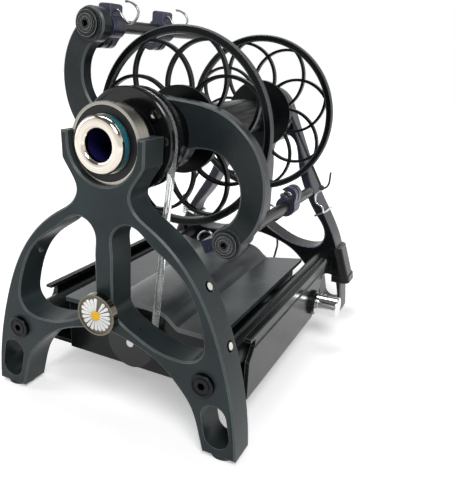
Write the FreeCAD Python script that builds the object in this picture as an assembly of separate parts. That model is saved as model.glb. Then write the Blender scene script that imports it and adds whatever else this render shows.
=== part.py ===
import FreeCAD, Part
import math
import os

# Electric yarn spinner. All sizes are in millimetres.
# X runs to the spinner's right as seen from the orifice, Y runs back along the flyer axis, Z is up.
# The origin is on the flyer axis, in the plane of the front frame's front face.
# Heights that belong to the legs and the base are counted up from the table with up().

# ---- driving sizes: stand ----
AXIS_HEIGHT = 161.3        # flyer axis above the table
FRAME_T = 18.2             # thickness of each frame plate
TIE_LENGTH = 198.6         # free length of the tie bars between the frames
TIE_X = 62.5               # tie bars, each side of the middle
TIE_HEIGHT = 44.4          # tie bars above the table
TIE_R = 8.0
TIE_SCREW_R = 3.0
TIE_SCREW_DEPTH = 14.0     # thread length inside the bar
CAP_R = 6.75               # flat cap of a tie bar screw
CAP_T = 2.5
HEX_R = 2.2                # hex socket, across corners / 2
FOOT_R = 8.0
FOOT_T = 2.5
COLUMN_HALF = 5.6          # half width of the centre column
EDGE_BREAK = 0.9           # chamfer round the frame plates
CUP_WALL = 4.6             # wall of the U cradle beside the bearing
ARM_TOP = 5.0              # top of the cradle's arms above the axis
SLOT_R = 7.5               # slot in each leg
SLOT_LENGTH = 26.0
SLOT_TILT = 12.0
PIN_R = 2.1                # silver pins in the edge of the front frame
PIN_RECESS_R = 3.4
PIN_RECESS_DEPTH = 1.6
PIN_DEPTH = 6.0
REAR_HUB_R = 21.5
HUB_WALL = 4.8             # closes the rear hub behind the bearing

# ---- driving sizes: bearings ----
FRONT_BEARING = {"bore": 12.5, "outside": 21.0, "width": 9.0, "inner": 2.6, "outer": 1.7, "balls": 13}
REAR_BEARING = {"bore": 4.0, "outside": 11.0, "width": 7.0, "inner": 2.0, "outer": 2.0, "balls": 8}
BEARING_SETBACK = 3.6      # front bearing behind the front face
REAR_SETBACK = 2.2         # rear bearing behind the rear frame's front face
SHOULDER = 1.6             # lip that a bearing's back face rests on
SEAL_T = 0.8
SEAL_INSET = 0.3

# ---- driving sizes: flyer ----
ORIFICE_R = 8.0
CHAMBER_R = 8.6            # inside the tube's window section
PLUG_FLOOR = 4.0           # closes the tube in front of the shaft's seat
RING_R = 14.8              # polished orifice ring
RING_FRONT = -3.4
RING_BACK = 0.2
RING_ROUND = 2.6
RING_BACK_ROUND = 0.5
SPACER_R = 14.5
WHORL_R = 27.75
WHORL_FRONT = 22.1
WHORL_FLANGE = 3.6
GROOVE_W = 5.6             # mouth of the belt groove
GROOVE_FLOOR = 4.6         # width of its floor
WHORL_SCREW_R = 2.7
WHORL_HEX_R = 1.6           # its socket, across corners / 2
WHORL_SCREW_CIRCLE = 22.3
WHORL_THREAD_R = 1.5
HUB_R = 20.5
YOKE_FRONT = 53.2
YOKE_T = 9.0
YOKE_HUB_R = 21.5
ARM_RADIUS = 74.7          # flyer arms from the axis
ARM_ANGLE = -50.85         # first arm, degrees from +X in the XZ plane
BOSS_R = 10.0
BOSS_FRONT = 1.4           # boss stands in front of the yoke face
ARM_TUBE_R = 4.0
ARM_TUBE_WALL = 1.2
ARM_END = 206.5
ARM_CAP_R = 7.4
ARM_CAP_T = 1.8
SHAFT_R = 4.0
SHAFT_SEAT = 8.0           # shaft held inside the plug of the tube
WINDOW_ANGLE = 180.0       # side window where the yarn leaves the hub
WINDOW_W = 12.0

# ---- driving sizes: bobbin ----
BOBBIN_R = 60.6
BOBBIN_FRONT = 77.4        # outside face of the front disc
BOBBIN_LENGTH = 131.2      # over both discs
DISC_T = 4.2
RIM_W = 5.0
LACE_COUNT = 8             # interlaced petals between rim and hub disc
LACE_SIDE_R = 27.0         # each side of a petal is one arc of this radius
LACE_ASIDE = 7.5           # the arc's centre, beside the petal's middle line
LACE_MOUTH = 1.8           # half the mouth of a petal where it meets the rim
LACE_W = 2.1
LACE_T = 3.2
FRONT_PHASE = 26.0
REAR_PHASE = 17.3
HUB_DISC_R = 26.7
CORE_R = 13.5
CORE_WALL = 2.5
NOSE_R = 12.0
NOSE_LENGTH = 12.0
BUSH_R = 7.0
BUSH_LENGTH = 14.0
RUN = 0.06                 # radial running clearance of a bush or a shaft
BRAKE_R = 25.5
BRAKE_GROOVE_R = 21.4
BRAKE_W = 5.8
BRAKE_GROOVE_W = 2.8

# ---- driving sizes: hooks ----
HOOK_LENGTH = 12.0
HOOK_WALL = 3.0
LOBE_R = 6.2               # open lobe beside the arm tube
LOBE_EYE_R = 2.7
LOBE_OUT = 8.8             # from the arm tube's axis to the lobe's
LOBE_ANGLE = 145.0         # round the tube from the head
LOBE_MOUTH = 3.6
MOUTH_TURN = 81.0          # from the lobe's direction back to its mouth
LOBE_SPLIT = 2.6           # slot that halves the lobe
HEAD_W = 8.5
WIRE_R = 0.75
# eyes of bent wire: along the head and away from its side, from where the wire leaves the head
OPEN_EYE = [(-1.6, -2.8), (-5.2, -5.8), (-6.9, -10.4), (-4.2, -14.3), (-0.2, -15.6), (3.5, -12.8), (5.0, -6.4)]
LOW_EYE = [(0.8, -2.8), (4.2, -4.5), (8.4, -3.5), (10.8, -0.2)]
# name, arm (0 = lower right, 1 = upper left), place along Y, direction of the head in degrees,
# reach of the head, distance of the wire from the head's end, eye, side of the lobe
HOOKS = [
    ("hook_1", 1, 73.0, 88.0, 12.5, 3.4, OPEN_EYE, 1),
    ("hook_2", 1, 131.0, 86.0, 12.5, 3.4, OPEN_EYE, 1),
    ("hook_3", 0, 70.5, 205.0, 24.0, 6.5, LOW_EYE, -1),
    ("hook_4", 0, 158.0, 225.0, 14.0, 4.5, LOW_EYE, -1),
]

# ---- driving sizes: base ----
BASE_FRONT = 35.0
BASE_WALL = 2.8
BASE_FLOOR = 18.0          # underside of the tray above the table
FLOOR_T = 2.5
WALL_GAP = 0.5             # between a tie bar and the side wall
WALL_TOP = 54.8
WALL_BACK_LOW = 160.0      # the side wall's back edge leans back from here
WALL_BACK_TOP = 187.0
LIP_W = 4.4                # lip along the top of the side wall
LIP_T = 2.2
NOTCH = 7.0
RIB_X = 50.0
RIB_T = 2.5
BOX_BACK = 169.0
PANEL_T = 3.0
LID_FRONT = 31.2
LID_BACK = 172.0
LID_EAR = 13.0             # the lid's back corners reach further back
LID_HALF = 54.2
LID_CREASE = 28.8
LID_HEIGHT = 54.2          # flat part, top face above the table
HUMP_RISE = 9.0
LID_T = 3.0
FIT = 0.3                  # clearance between loose pieces
POST_R = 3.6
LID_SCREW_R = 1.5

# ---- driving sizes: drive ----
MOTOR_R = 17.5
MOTOR_LENGTH = 62.0
MOTOR_HEIGHT = 39.0
MOTOR_SHAFT_R = 2.5
PULLEY_BELT_R = 13.5       # belt line on the motor pulley
BELT_R = 2.1
BELT_LINE = 25.3           # belt line on the whorl
SPEED_Y = 157.5
SPEED_HEIGHT = 31.6
KNOB_R = 7.75
KNOB_LENGTH = 17.5
COLLAR_R = 9.3
COLLAR_T = 2.4
POT_R = 8.0
POT_LENGTH = 12.0
POT_SHAFT_R = 3.0
LEAD_R = 0.9               # thin lead between the rear frame and the tray

# ---- driving sizes: brake, badge, sleeves ----
CORD_R = 1.0
BADGE_R = 11.8
BADGE_HEIGHT = 71.0
BADGE_FRONT = -8.0
PETALS = 20
SLEEVE_LOW = 33.0
SLEEVE_HIGH = 57.5
SLEEVE_LOW_X = (73.0, 85.9)    # inner and outer side at its foot
SLEEVE_HIGH_X = (69.8, 77.6)   # and at its top
SLEEVE_COLLAR = 4.4
SLEEVE_WALL = 3.4
RING_WIRE_R = 0.8

# ---- driving sizes: circuit board ----
BOARD_LEFT = -30.0
BOARD_FRONT = 106.0
BOARD_WIDE = 54.0
BOARD_DEEP = 40.0
BOARD_T = 1.6
STANDOFF = 5.0

# ---- values worked out from the sizes above ----
REAR_Y = FRAME_T + TIE_LENGTH
BACK_Y = REAR_Y + FRAME_T
SOLE = FOOT_T - AXIS_HEIGHT
BEARING_R = FRONT_BEARING["outside"]
BEARING_BACK = BEARING_SETBACK + FRONT_BEARING["width"]
REAR_BEARING_Y = REAR_Y + REAR_SETBACK
GROOVE_Y = WHORL_FRONT + WHORL_FLANGE + GROOVE_W / 2
WHORL_BACK = WHORL_FRONT + 2 * WHORL_FLANGE + GROOVE_W
WHORL_SCREW_END = WHORL_FRONT + WHORL_FLANGE - 0.6
YOKE_BACK = YOKE_FRONT + YOKE_T
TUBE_R = FRONT_BEARING["bore"]
LACE_REACH = BOBBIN_R - RIM_W                              # inner edge of the rim
LACE_SPAN = math.sqrt(LACE_SIDE_R ** 2 - (LACE_ASIDE + LACE_MOUTH) ** 2)
LACE_OUT = LACE_REACH - LACE_SPAN                          # the arcs' centres along the petal
BOBBIN_BACK = BOBBIN_FRONT + BOBBIN_LENGTH
NOSE_FRONT = BOBBIN_FRONT - NOSE_LENGTH
BRAKE_BACK = BOBBIN_BACK + BRAKE_W
CORD_LINE = BRAKE_GROOVE_R + CORD_R + 0.1
CORD_Y = BOBBIN_BACK + BRAKE_W / 2
WALL_IN = TIE_X + TIE_R + WALL_GAP
WALL_OUT = WALL_IN + BASE_WALL
SLOPE = (WALL_BACK_TOP - WALL_BACK_LOW) / (WALL_TOP - BASE_FLOOR)


def up(height):
    """Z of a height above the table."""
    return height - AXIS_HEIGHT


MOTOR_Z = up(MOTOR_HEIGHT)
TIE_Z = up(TIE_HEIGHT)


# ---- small tools ----
def vec(x, y, z):
    return FreeCAD.Vector(x, y, z)


AXIS_X = vec(1, 0, 0)
AXIS_Y = vec(0, 1, 0)
AXIS_Z = vec(0, 0, 1)


def disc(radius, y0, y1, x=0.0, z=0.0):
    """Solid cylinder along Y."""
    return Part.makeCylinder(radius, y1 - y0, vec(x, y0, z), AXIS_Y)


def ring(outer, inner, y0, y1, x=0.0, z=0.0):
    """Tube along Y."""
    return disc(outer, y0, y1, x, z).cut(disc(inner, y0 - 1, y1 + 1, x, z))


def box(x0, x1, y0, y1, z0, z1):
    return Part.makeBox(x1 - x0, y1 - y0, z1 - z0, vec(x0, y0, z0))


def bar(radius, start, end):
    """Round bar between two points."""
    return Part.makeCylinder(radius, (end - start).Length, start, end - start)


def mirrored(shape):
    """The same piece on the other side of the middle."""
    return shape.mirror(vec(0, 0, 0), AXIS_X)


def both_sides(shape):
    return [shape, mirrored(shape)]


def turned(shape, angle, centre=(0.0, 0.0)):
    """Copy turned about an axis along Y, from +X towards +Z."""
    copy = shape.copy()
    copy.rotate(vec(centre[0], 0, centre[1]), AXIS_Y, -angle)
    return copy


def curve(points):
    """Smooth edge in the XZ plane through the points."""
    spline = Part.BSplineCurve()
    spline.interpolate([vec(x, 0, z) for x, z in points])
    return spline.toShape()


def loop(points):
    """Smooth closed edge in the XZ plane through the points."""
    spline = Part.BSplineCurve()
    spline.interpolate([vec(x, 0, z) for x, z in points], PeriodicFlag=True)
    return spline.toShape()


def line(start, end):
    return Part.makeLine(vec(start[0], 0, start[1]), vec(end[0], 0, end[1]))


def plate(edges, y0, thickness):
    """Flat plate from a closed outline in the XZ plane."""
    face = Part.Face(Part.Wire(Part.__sortEdges__(edges)))
    face.translate(vec(0, y0, 0))
    return face.extrude(vec(0, thickness, 0))


def fused(shapes):
    whole = shapes[0].multiFuse(shapes[1:])
    return whole.removeSplitter()


def hexagon(radius, y0, y1, x=0.0, z=0.0):
    corners = [vec(x + radius * math.cos(k * math.pi / 3), y0, z + radius * math.sin(k * math.pi / 3))
               for k in range(7)]
    return Part.Face(Part.makePolygon(corners)).extrude(vec(0, y1 - y0, 0))


def break_edges(solid, faces_y, size):
    """Chamfer every edge that lies wholly in one of the planes y = faces_y."""
    picked = []
    for edge in solid.Edges:
        low = edge.BoundBox.YMin
        high = edge.BoundBox.YMax
        if any(abs(low - y) < 0.01 and abs(high - y) < 0.01 for y in faces_y):
            picked.append(edge)
    return solid.makeChamfer(size, picked)


def round_edges(solid, radius, test):
    """Fillet the edges for which test(edge) is true."""
    return solid.makeFillet(radius, [edge for edge in solid.Edges if test(edge)])


def polar(radius, angle):
    return radius * math.cos(math.radians(angle)), radius * math.sin(math.radians(angle))


# ---- frames ----
def leg_outer():
    """Outer edge of the right leg, from the knee down to the sole."""
    return [(TIE_X + 9.4, up(63.0)), (TIE_X + 16.6, up(36.5)), (TIE_X + 20.8, SOLE)]


def arch():
    """The arch between the legs, from right to left."""
    half = [(TIE_X + 0.6, SOLE), (TIE_X - 2.8, up(15.2)), (TIE_X - 8.0, up(28.6)), (TIE_X - 16.5, up(38.8)),
            (36.3, up(47.4)), (18.0, up(55.4))]
    return half + [(0.0, up(58.6))] + [(-x, z) for x, z in reversed(half)]


def kidney_foot():
    """Lower edge of a kidney opening, from the leg to the column."""
    return [(TIE_X - 1.6, up(71.0)), (TIE_X - 1.3, up(62.2)), (TIE_X - 6.3, up(56.0)), (45.4, up(53.9)),
            (33.4, up(55.4)), (17.5, up(62.1)), (8.7, up(67.8))]


def foot_slot(y0):
    """Slot through the right leg, leaning outwards at its foot."""
    half = SLOT_LENGTH / 2 - SLOT_R
    centre = (TIE_X + 7.9, up(20.5))
    lean = math.radians(SLOT_TILT)
    shift = (half * math.sin(lean), half * math.cos(lean))
    length = FRAME_T + 2
    top = disc(SLOT_R, y0 - 1, y0 - 1 + length, centre[0] - shift[0], centre[1] + shift[1])
    foot = disc(SLOT_R, y0 - 1, y0 - 1 + length, centre[0] + shift[0], centre[1] - shift[1])
    middle = box(centre[0] - SLOT_R, centre[0] + SLOT_R, y0 - 1, y0 - 1 + length, centre[1] - half, centre[1] + half)
    middle = turned(middle, SLOT_TILT, centre)
    return fused([top, middle, foot])


def frame_openings(y0):
    """Slots and tie bar screw holes that both frames share."""
    screw = disc(TIE_SCREW_R + 0.1, y0 - 1, y0 + FRAME_T + 1, TIE_X, TIE_Z)
    return both_sides(foot_slot(y0)) + both_sides(screw)


def column_edge(low, high):
    """Edge of the centre column between two heights, from its foot up."""
    return [(COLUMN_HALF, low + (high - low) * k / 4) for k in range(5)]


def front_kidney():
    side = COLUMN_HALF
    points = column_edge(up(74.0), -47.3) + [(side + 3.6, -42.0), (16.8, -39.5), (28.8, -47.0)]
    points += [(40.1, up(106.5)), (TIE_X - 12.1, up(96.4)), (TIE_X - 5.5, up(84.0))] + kidney_foot()
    return plate([loop(points)], -1, FRAME_T + 2)


def cup_half():
    return BEARING_R + 0.06 + CUP_WALL


def front_contour():
    """Right outer edge of the front frame, from the cradle's arm to the sole."""
    x = cup_half()
    return [(x - 0.4, -8.9), (x - 5.8, -17.1), (16.75, -24.7), (20.0, -32.0), (28.9, -38.4), (46.7, up(108.8)),
            (TIE_X - 1.1, up(88.3))] + leg_outer()


def front_frame():
    right = front_contour()
    left = [(-x, z) for x, z in reversed(right)]
    x = cup_half()
    edges = [line((-x, ARM_TOP), (x, ARM_TOP)), line((x, ARM_TOP), right[0]), curve(right)]
    edges += [line(right[-1], arch()[0]), curve(arch()), line(arch()[-1], left[0]), curve(left)]
    edges += [line(left[-1], (-x, ARM_TOP))]
    body = plate(edges, 0, FRAME_T)
    seat = BEARING_R + 0.06
    rest = BEARING_R - SHOULDER
    cradle = [disc(seat, -1, BEARING_BACK + 0.05), disc(rest, 0, FRAME_T + 1)]
    cradle += [box(-seat, seat, -1, BEARING_BACK + 0.05, 0, ARM_TOP + 1)]
    cradle += [box(-rest, rest, 0, FRAME_T + 1, 0, ARM_TOP + 1)]
    body = body.cut(fused([cradle[0], cradle[2]])).cut(fused([cradle[1], cradle[3]]))
    body = body.cut(Part.makeCompound(both_sides(front_kidney())))
    body = break_edges(body, (0.0, FRAME_T), EDGE_BREAK)
    body = body.cut(Part.makeCompound(frame_openings(0)))
    return body.cut(Part.makeCompound(pin_recesses()))


def pin_places():
    """Places on the outer edge of the right leg, each with its outward direction in degrees."""
    return [(TIE_X - 4.6, up(94.5), 32.0), (TIE_X + 9.0, up(64.0), 19.0)]


def edge_cylinder(x, z, angle, radius, start, end):
    """Cylinder square to the leg's outer edge, from start to end along the outward direction."""
    dx, dz = polar(1.0, angle)
    y = FRAME_T * 0.62
    return bar(radius, vec(x + dx * start, y, z + dz * start), vec(x + dx * end, y, z + dz * end))


def pin_recesses():
    cuts = []
    for x, z, angle in pin_places():
        wide = edge_cylinder(x, z, angle, PIN_RECESS_R, -PIN_RECESS_DEPTH, 4)
        deep = edge_cylinder(x, z, angle, PIN_R - 0.6, -PIN_DEPTH, 0)
        cuts += both_sides(wide.fuse(deep))
    return cuts


def edge_pins():
    pins = []
    for x, z, angle in pin_places():
        head = edge_cylinder(x, z, angle, PIN_R, -PIN_RECESS_DEPTH, 0.5)
        shank = edge_cylinder(x, z, angle, PIN_R - 0.6, -PIN_DEPTH, 0)
        pins += both_sides(fused([head, shank]))
    return pins


def rear_kidney():
    side = COLUMN_HALF
    points = column_edge(up(74.0), -28.5) + [(side + 2.6, -23.6), (14.5, -20.8), (21.0, -15.2)]
    points += [(25.0, -16.6), (32.7, -34.8), (42.0, up(100.4)), (TIE_X - 9.4, up(82.6))] + kidney_foot()
    return plate([loop(points)], REAR_Y - 1, FRAME_T + 2)


def rear_outline():
    """Closed outline of the rear frame: round hub, straight struts, curved legs."""
    slant = 23.7
    hub = polar(REAR_HUB_R, slant)
    knee_x = TIE_X - 13.9
    knee = (knee_x, hub[1] - (knee_x - hub[0]) / math.tan(math.radians(slant)))
    strut = [(hub[0] + (knee[0] - hub[0]) * k / 4, hub[1] + (knee[1] - hub[1]) * k / 4) for k in range(5)]
    right = strut + [(TIE_X - 3.6, up(87.0))] + leg_outer()
    left = [(-x, z) for x, z in reversed(right)]
    over = Part.Arc(vec(-hub[0], 0, hub[1]), vec(0, 0, REAR_HUB_R), vec(hub[0], 0, hub[1]))
    edges = [curve(right), line(right[-1], arch()[0]), curve(arch()), line(arch()[-1], left[0])]
    return edges + [curve(left), over.toShape()]


def rear_frame():
    body = plate(rear_outline(), REAR_Y, FRAME_T)
    body = body.cut(Part.makeCompound(both_sides(rear_kidney())))
    body = break_edges(body, (REAR_Y, BACK_Y), EDGE_BREAK)
    seat = disc(REAR_BEARING["outside"] + 0.06, REAR_Y - 1, REAR_BEARING_Y + REAR_BEARING["width"] + 0.05)
    relief = disc(REAR_BEARING["outside"] - SHOULDER, REAR_Y, BACK_Y - HUB_WALL)
    body = body.cut(seat.fuse(relief)).cut(lead_hole(*lead_points()[:2]))
    return body.cut(Part.makeCompound(frame_openings(REAR_Y)))


def lead_points():
    """Points of the thin lead, from inside the rear bridge to inside the tray."""
    inside = BOX_BACK - PANEL_T - 1.0
    return [(19.0, REAR_Y + 4.0, up(56.8)), (20.5, REAR_Y + 3.0, up(49.0)), (21.5, REAR_Y - 8.0, up(38.0)),
            (22.0, REAR_Y - 30.0, up(31.0)), (16.0, BOX_BACK + 7.0, up(27.0)), (14.0, inside, up(26.3))]


def lead_hole(end, inner):
    """Cutter for the hole that one end of the lead sits in, a little deeper than the lead."""
    end = vec(*end)
    inner = vec(*inner)
    return bar(LEAD_R + 0.1, end - (inner - end).normalize() * 0.4, inner)


def tie_bars():
    body = disc(TIE_R, FRAME_T, REAR_Y, TIE_X, TIE_Z)
    for y0, y1 in ((FRAME_T - 1, FRAME_T + TIE_SCREW_DEPTH + 1), (REAR_Y - TIE_SCREW_DEPTH - 1, REAR_Y + 1)):
        body = body.cut(disc(TIE_SCREW_R + 0.05, y0, y1, TIE_X, TIE_Z))
    return both_sides(body)


def cap_screw(face, out):
    """Flat cap screw. face is the plane under its cap, out is -1 to the front or 1 to the back."""
    low, high = sorted((face, face + out * CAP_T))
    cap = disc(CAP_R, low, high, TIE_X, TIE_Z)
    outside = face + out * CAP_T
    cap = round_edges(cap, 0.7, lambda edge: abs(edge.BoundBox.YMin - outside) < 0.01)
    low, high = sorted((face, face - out * (FRAME_T + TIE_SCREW_DEPTH)))
    screw = fused([cap, disc(TIE_SCREW_R, low, high, TIE_X, TIE_Z)])
    low, high = sorted((outside + out, outside - out * 3.5))
    screw = screw.cut(hexagon(HEX_R, low, high, TIE_X, TIE_Z))
    low, high = sorted((outside + out, outside - out * 0.6))
    return screw.cut(ring(5.0, 4.5, low, high, TIE_X, TIE_Z))


def tie_screws():
    return both_sides(cap_screw(0.0, -1)) + both_sides(cap_screw(BACK_Y, 1))


def rubber_feet():
    feet = []
    for y in (FRAME_T / 2, REAR_Y + FRAME_T / 2):
        x = TIE_X + 10.7
        foot = Part.makeCylinder(FOOT_R, FOOT_T, vec(x, y, up(0)), AXIS_Z)
        foot = round_edges(foot, 0.6, lambda edge: edge.BoundBox.ZMax < up(0.01))
        feet += both_sides(foot)
    return feet


# ---- ball bearings ----
def bearing(sizes, y0):
    """Outer race, inner race, seals and balls of a sealed ball bearing whose front face is at y0."""
    y1 = y0 + sizes["width"]
    middle = (y0 + y1) / 2
    inner_r = sizes["bore"] + sizes["inner"]
    outer_r = sizes["outside"] - sizes["outer"]
    pitch = (inner_r + outer_r) / 2
    ball_r = (outer_r - inner_r) * 0.6
    track = Part.makeTorus(pitch, ball_r + 0.05, vec(0, middle, 0), AXIS_Y)
    outer = ring(sizes["outside"], outer_r, y0, y1).cut(track)
    inner = ring(inner_r, sizes["bore"], y0, y1).cut(track)
    seals = [ring(outer_r - 0.05, inner_r + 0.3, y0 + SEAL_INSET, y0 + SEAL_INSET + SEAL_T),
             ring(outer_r - 0.05, inner_r + 0.3, y1 - SEAL_INSET - SEAL_T, y1 - SEAL_INSET)]
    balls = []
    for k in range(sizes["balls"]):
        x, z = polar(pitch, 360.0 * k / sizes["balls"])
        balls.append(Part.makeSphere(ball_r, vec(x, middle, z)))
    return [outer], [inner], seals, balls


# ---- flyer ----
def orifice_ring():
    body = ring(RING_R, ORIFICE_R, RING_FRONT, RING_BACK)
    body = round_edges(body, RING_ROUND, lambda edge: abs(edge.BoundBox.YMax - RING_FRONT) < 0.01)
    return round_edges(body, RING_BACK_ROUND, lambda edge: abs(edge.BoundBox.YMin - RING_BACK) < 0.01
                       and edge.BoundBox.XMax > RING_R - 0.1)


def spacer_ring():
    body = ring(SPACER_R, TUBE_R + 0.02, RING_BACK, BEARING_SETBACK)
    return round_edges(body, 0.5, lambda edge: edge.BoundBox.XMax > SPACER_R - 0.1
                       and edge.BoundBox.YLength < 0.01)


def window(y0, y1):
    """Cutter for the side window of the hub."""
    half = WINDOW_W / 2
    cutter = box(ORIFICE_R - 3, HUB_R + 5, y0, y1, -half, half)
    return turned(cutter, WINDOW_ANGLE)


def orifice_tube():
    """Flyer tube from the orifice ring to the back of the whorl."""
    return ring(TUBE_R - 0.02, ORIFICE_R, RING_BACK, WHORL_BACK)


def tube_end():
    """The tube's window section, a little wider inside, and the plug that holds the shaft."""
    plug_front = YOKE_BACK - SHAFT_SEAT - PLUG_FLOOR
    section = ring(TUBE_R - 0.02, CHAMBER_R, WHORL_BACK, plug_front)
    section = section.cut(window(WHORL_BACK + 3, YOKE_FRONT - 4))
    plug = disc(TUBE_R - 0.02, plug_front, YOKE_BACK)
    return [section, plug.cut(disc(SHAFT_R + 0.02, YOKE_BACK - SHAFT_SEAT, YOKE_BACK + 1))]


def whorl_spacer():
    return ring(TUBE_R + 2.2, TUBE_R, BEARING_BACK, WHORL_FRONT)


def belt_groove(rim, belt_line, z):
    """Cutter for a belt groove round a pulley whose axis is at height z."""
    floor = belt_line - BELT_R - 0.1
    mouth = GROOVE_W / 2 + 0.1
    half = GROOVE_FLOOR / 2
    profile = [vec(rim + 1, GROOVE_Y - mouth, z), vec(floor, GROOVE_Y - half, z),
               vec(floor, GROOVE_Y + half, z), vec(rim + 1, GROOVE_Y + mouth, z)]
    return Part.Face(Part.makePolygon(profile + [profile[0]])).revolve(vec(0, 0, z), AXIS_Y, 360)


def whorl():
    body = disc(WHORL_R, WHORL_FRONT, WHORL_BACK)
    body = break_edges(body, (WHORL_FRONT, WHORL_BACK), 0.6)
    body = body.cut(belt_groove(WHORL_R, BELT_LINE, 0.0)).cut(disc(TUBE_R, WHORL_FRONT - 1, WHORL_BACK + 1))
    body = body.cut(ring(WHORL_R - 2.2, 17.6, WHORL_FRONT - 1, WHORL_FRONT + 0.5))
    for x, z in whorl_screw_places():
        body = body.cut(disc(WHORL_THREAD_R + 0.05, WHORL_FRONT - 1, WHORL_SCREW_END + 0.3, x, z))
    return body


def whorl_screw_places():
    return [polar(WHORL_SCREW_CIRCLE, 40.0), polar(WHORL_SCREW_CIRCLE, 3.0)]


def whorl_screws():
    screws = []
    for x, z in whorl_screw_places():
        seat = WHORL_FRONT + 0.5
        head = disc(WHORL_SCREW_R, seat - 1.6, seat, x, z)
        screw = fused([head, disc(WHORL_THREAD_R, seat - 0.1, WHORL_SCREW_END, x, z)])
        screws.append(screw.cut(hexagon(WHORL_HEX_R, seat - 2, seat - 0.5, x, z)))
    return screws


def hub_sleeve():
    body = ring(HUB_R, TUBE_R, WHORL_BACK, YOKE_FRONT)
    body = body.cut(ring(HUB_R + 1, HUB_R - 0.4, YOKE_FRONT - 7.4, YOKE_FRONT - 7.0))
    return body.cut(window(WHORL_BACK + 3, YOKE_FRONT - 4))


def arm_centre(index):
    return polar(ARM_RADIUS, ARM_ANGLE + 180.0 * index)


def with_boss(points):
    """Points (share, x, z): each goes with the boss by its share, 0 at the hub and 1 at the boss."""
    x0, z0 = arm_centre(0)
    return [(share * x0 + x, share * z0 + z) for share, x, z in points]


def yoke_arm():
    """Curved arm of the yoke from the hub to its boss, for the lower right arm."""
    outer = with_boss([(0, 4.0, YOKE_HUB_R - 0.5), (0.05, 17.34, 22.8), (0.15, 23.13, 27.09), (0.3, 26.85, 32.38),
                       (0.45, 30.08, 34.47), (0.6, 31.1, 34.96), (0.72, 31.04, 32.11), (0.82, 29.13, 27.5),
                       (0.9, 25.85, 22.14), (0.96, 21.32, 15.61), (1, 15.44, 8.43), (1, 9.84, 0.93)])
    inner = with_boss([(1, -2.96, 9.33), (0.95, 4.8, 11.53), (0.85, 12.51, 12.24), (0.72, 19.44, 11.71),
                       (0.6, 24.0, 12.16), (0.45, 27.68, 10.27), (0.32, 28.91, 8.14), (0.2, 27.57, 4.99),
                       (0.1, 23.48, 0.19), (0, 18.0, -8.0)])
    edges = [curve(outer), line(outer[-1], inner[0]), curve(inner), line(inner[-1], outer[0])]
    return plate(edges, YOKE_FRONT, YOKE_T)


def flyer_yoke():
    arm = yoke_arm()
    parts = [disc(YOKE_HUB_R, YOKE_FRONT, YOKE_BACK), arm, turned(arm, 180)]
    for index in (0, 1):
        x, z = arm_centre(index)
        parts.append(disc(BOSS_R, YOKE_FRONT, YOKE_BACK, x, z))
    body = fused(parts)
    body = break_edges(body, (YOKE_FRONT, YOKE_BACK), 1.0)
    for index in (0, 1):
        x, z = arm_centre(index)
        boss = disc(BOSS_R - 1.0, YOKE_FRONT - BOSS_FRONT, YOKE_FRONT + 1, x, z)
        body = body.fuse(boss).cut(disc(ARM_TUBE_R, YOKE_FRONT - 5, YOKE_BACK + 1, x, z))
    return body.cut(disc(TUBE_R, YOKE_FRONT - 1, YOKE_BACK + 1)).removeSplitter()


def flyer_arms():
    tubes = []
    for index in (0, 1):
        x, z = arm_centre(index)
        start = YOKE_FRONT - BOSS_FRONT
        tubes.append(ring(ARM_TUBE_R, ARM_TUBE_R - ARM_TUBE_WALL, start, ARM_END, x, z))
    return tubes


def arm_caps():
    """Stepped cap with a hex socket, on the front of each boss."""
    caps = []
    for index in (0, 1):
        x, z = arm_centre(index)
        face = YOKE_FRONT - BOSS_FRONT
        steps = [disc(ARM_CAP_R, face - ARM_CAP_T, face, x, z)]
        steps.append(disc(ARM_CAP_R - 2.2, face - ARM_CAP_T - 1.2, face - ARM_CAP_T + 0.2, x, z))
        steps.append(disc(ARM_TUBE_R - ARM_TUBE_WALL - 0.02, face - 0.2, face + 9, x, z))
        cap = fused(steps)
        cap = cap.cut(hexagon(HEX_R, face - 6, face + 1.5, x, z))
        caps.append(cap.cut(ring(ARM_CAP_R - 3.4, ARM_CAP_R - 4.0, face - 6, face - ARM_CAP_T - 0.7, x, z)))
    return caps


def arm_plugs():
    """Closed ends of the arm tubes."""
    plugs = []
    for index in (0, 1):
        x, z = arm_centre(index)
        plug = disc(ARM_TUBE_R, ARM_END, ARM_END + 1.4, x, z)
        stem = disc(ARM_TUBE_R - ARM_TUBE_WALL - 0.02, ARM_END - 6, ARM_END + 0.2, x, z)
        plugs.append(fused([plug, stem]))
    return plugs


def flyer_shaft():
    end = REAR_BEARING_Y + REAR_BEARING["width"] + 2.0
    shaft = disc(SHAFT_R, YOKE_BACK - SHAFT_SEAT, end)
    return shaft.makeChamfer(0.6, [edge for edge in shaft.Edges if edge.BoundBox.YMin > end - 0.01])


def shaft_spacers():
    """Washer in front of the bobbin and collar behind it."""
    front = ring(BUSH_R, SHAFT_R + 0.02, YOKE_BACK, NOSE_FRONT - FIT)
    back = ring(REAR_BEARING["bore"] + 1.8, SHAFT_R + 0.02, BRAKE_BACK + FIT, REAR_BEARING_Y)
    return [front, back]


# ---- bobbin ----
def petal_sides(y0):
    """Both sides of the petal that points along +X: arcs from inside the hub disc to inside the rim."""
    y1 = y0 + LACE_T
    side = ring(LACE_SIDE_R + LACE_W / 2, LACE_SIDE_R - LACE_W / 2, y0, y1, LACE_OUT, -LACE_ASIDE)
    far = 2 * BOBBIN_R
    lean = math.degrees(math.atan2(LACE_ASIDE, LACE_OUT))
    kept = turned(box(0, far, y0, y1, 0, far), -lean)
    side = side.common(kept).common(ring(LACE_REACH + 1.5, HUB_DISC_R - 1.5, y0, y1))
    return [side, side.mirror(vec(0, 0, 0), AXIS_Z)]


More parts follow.
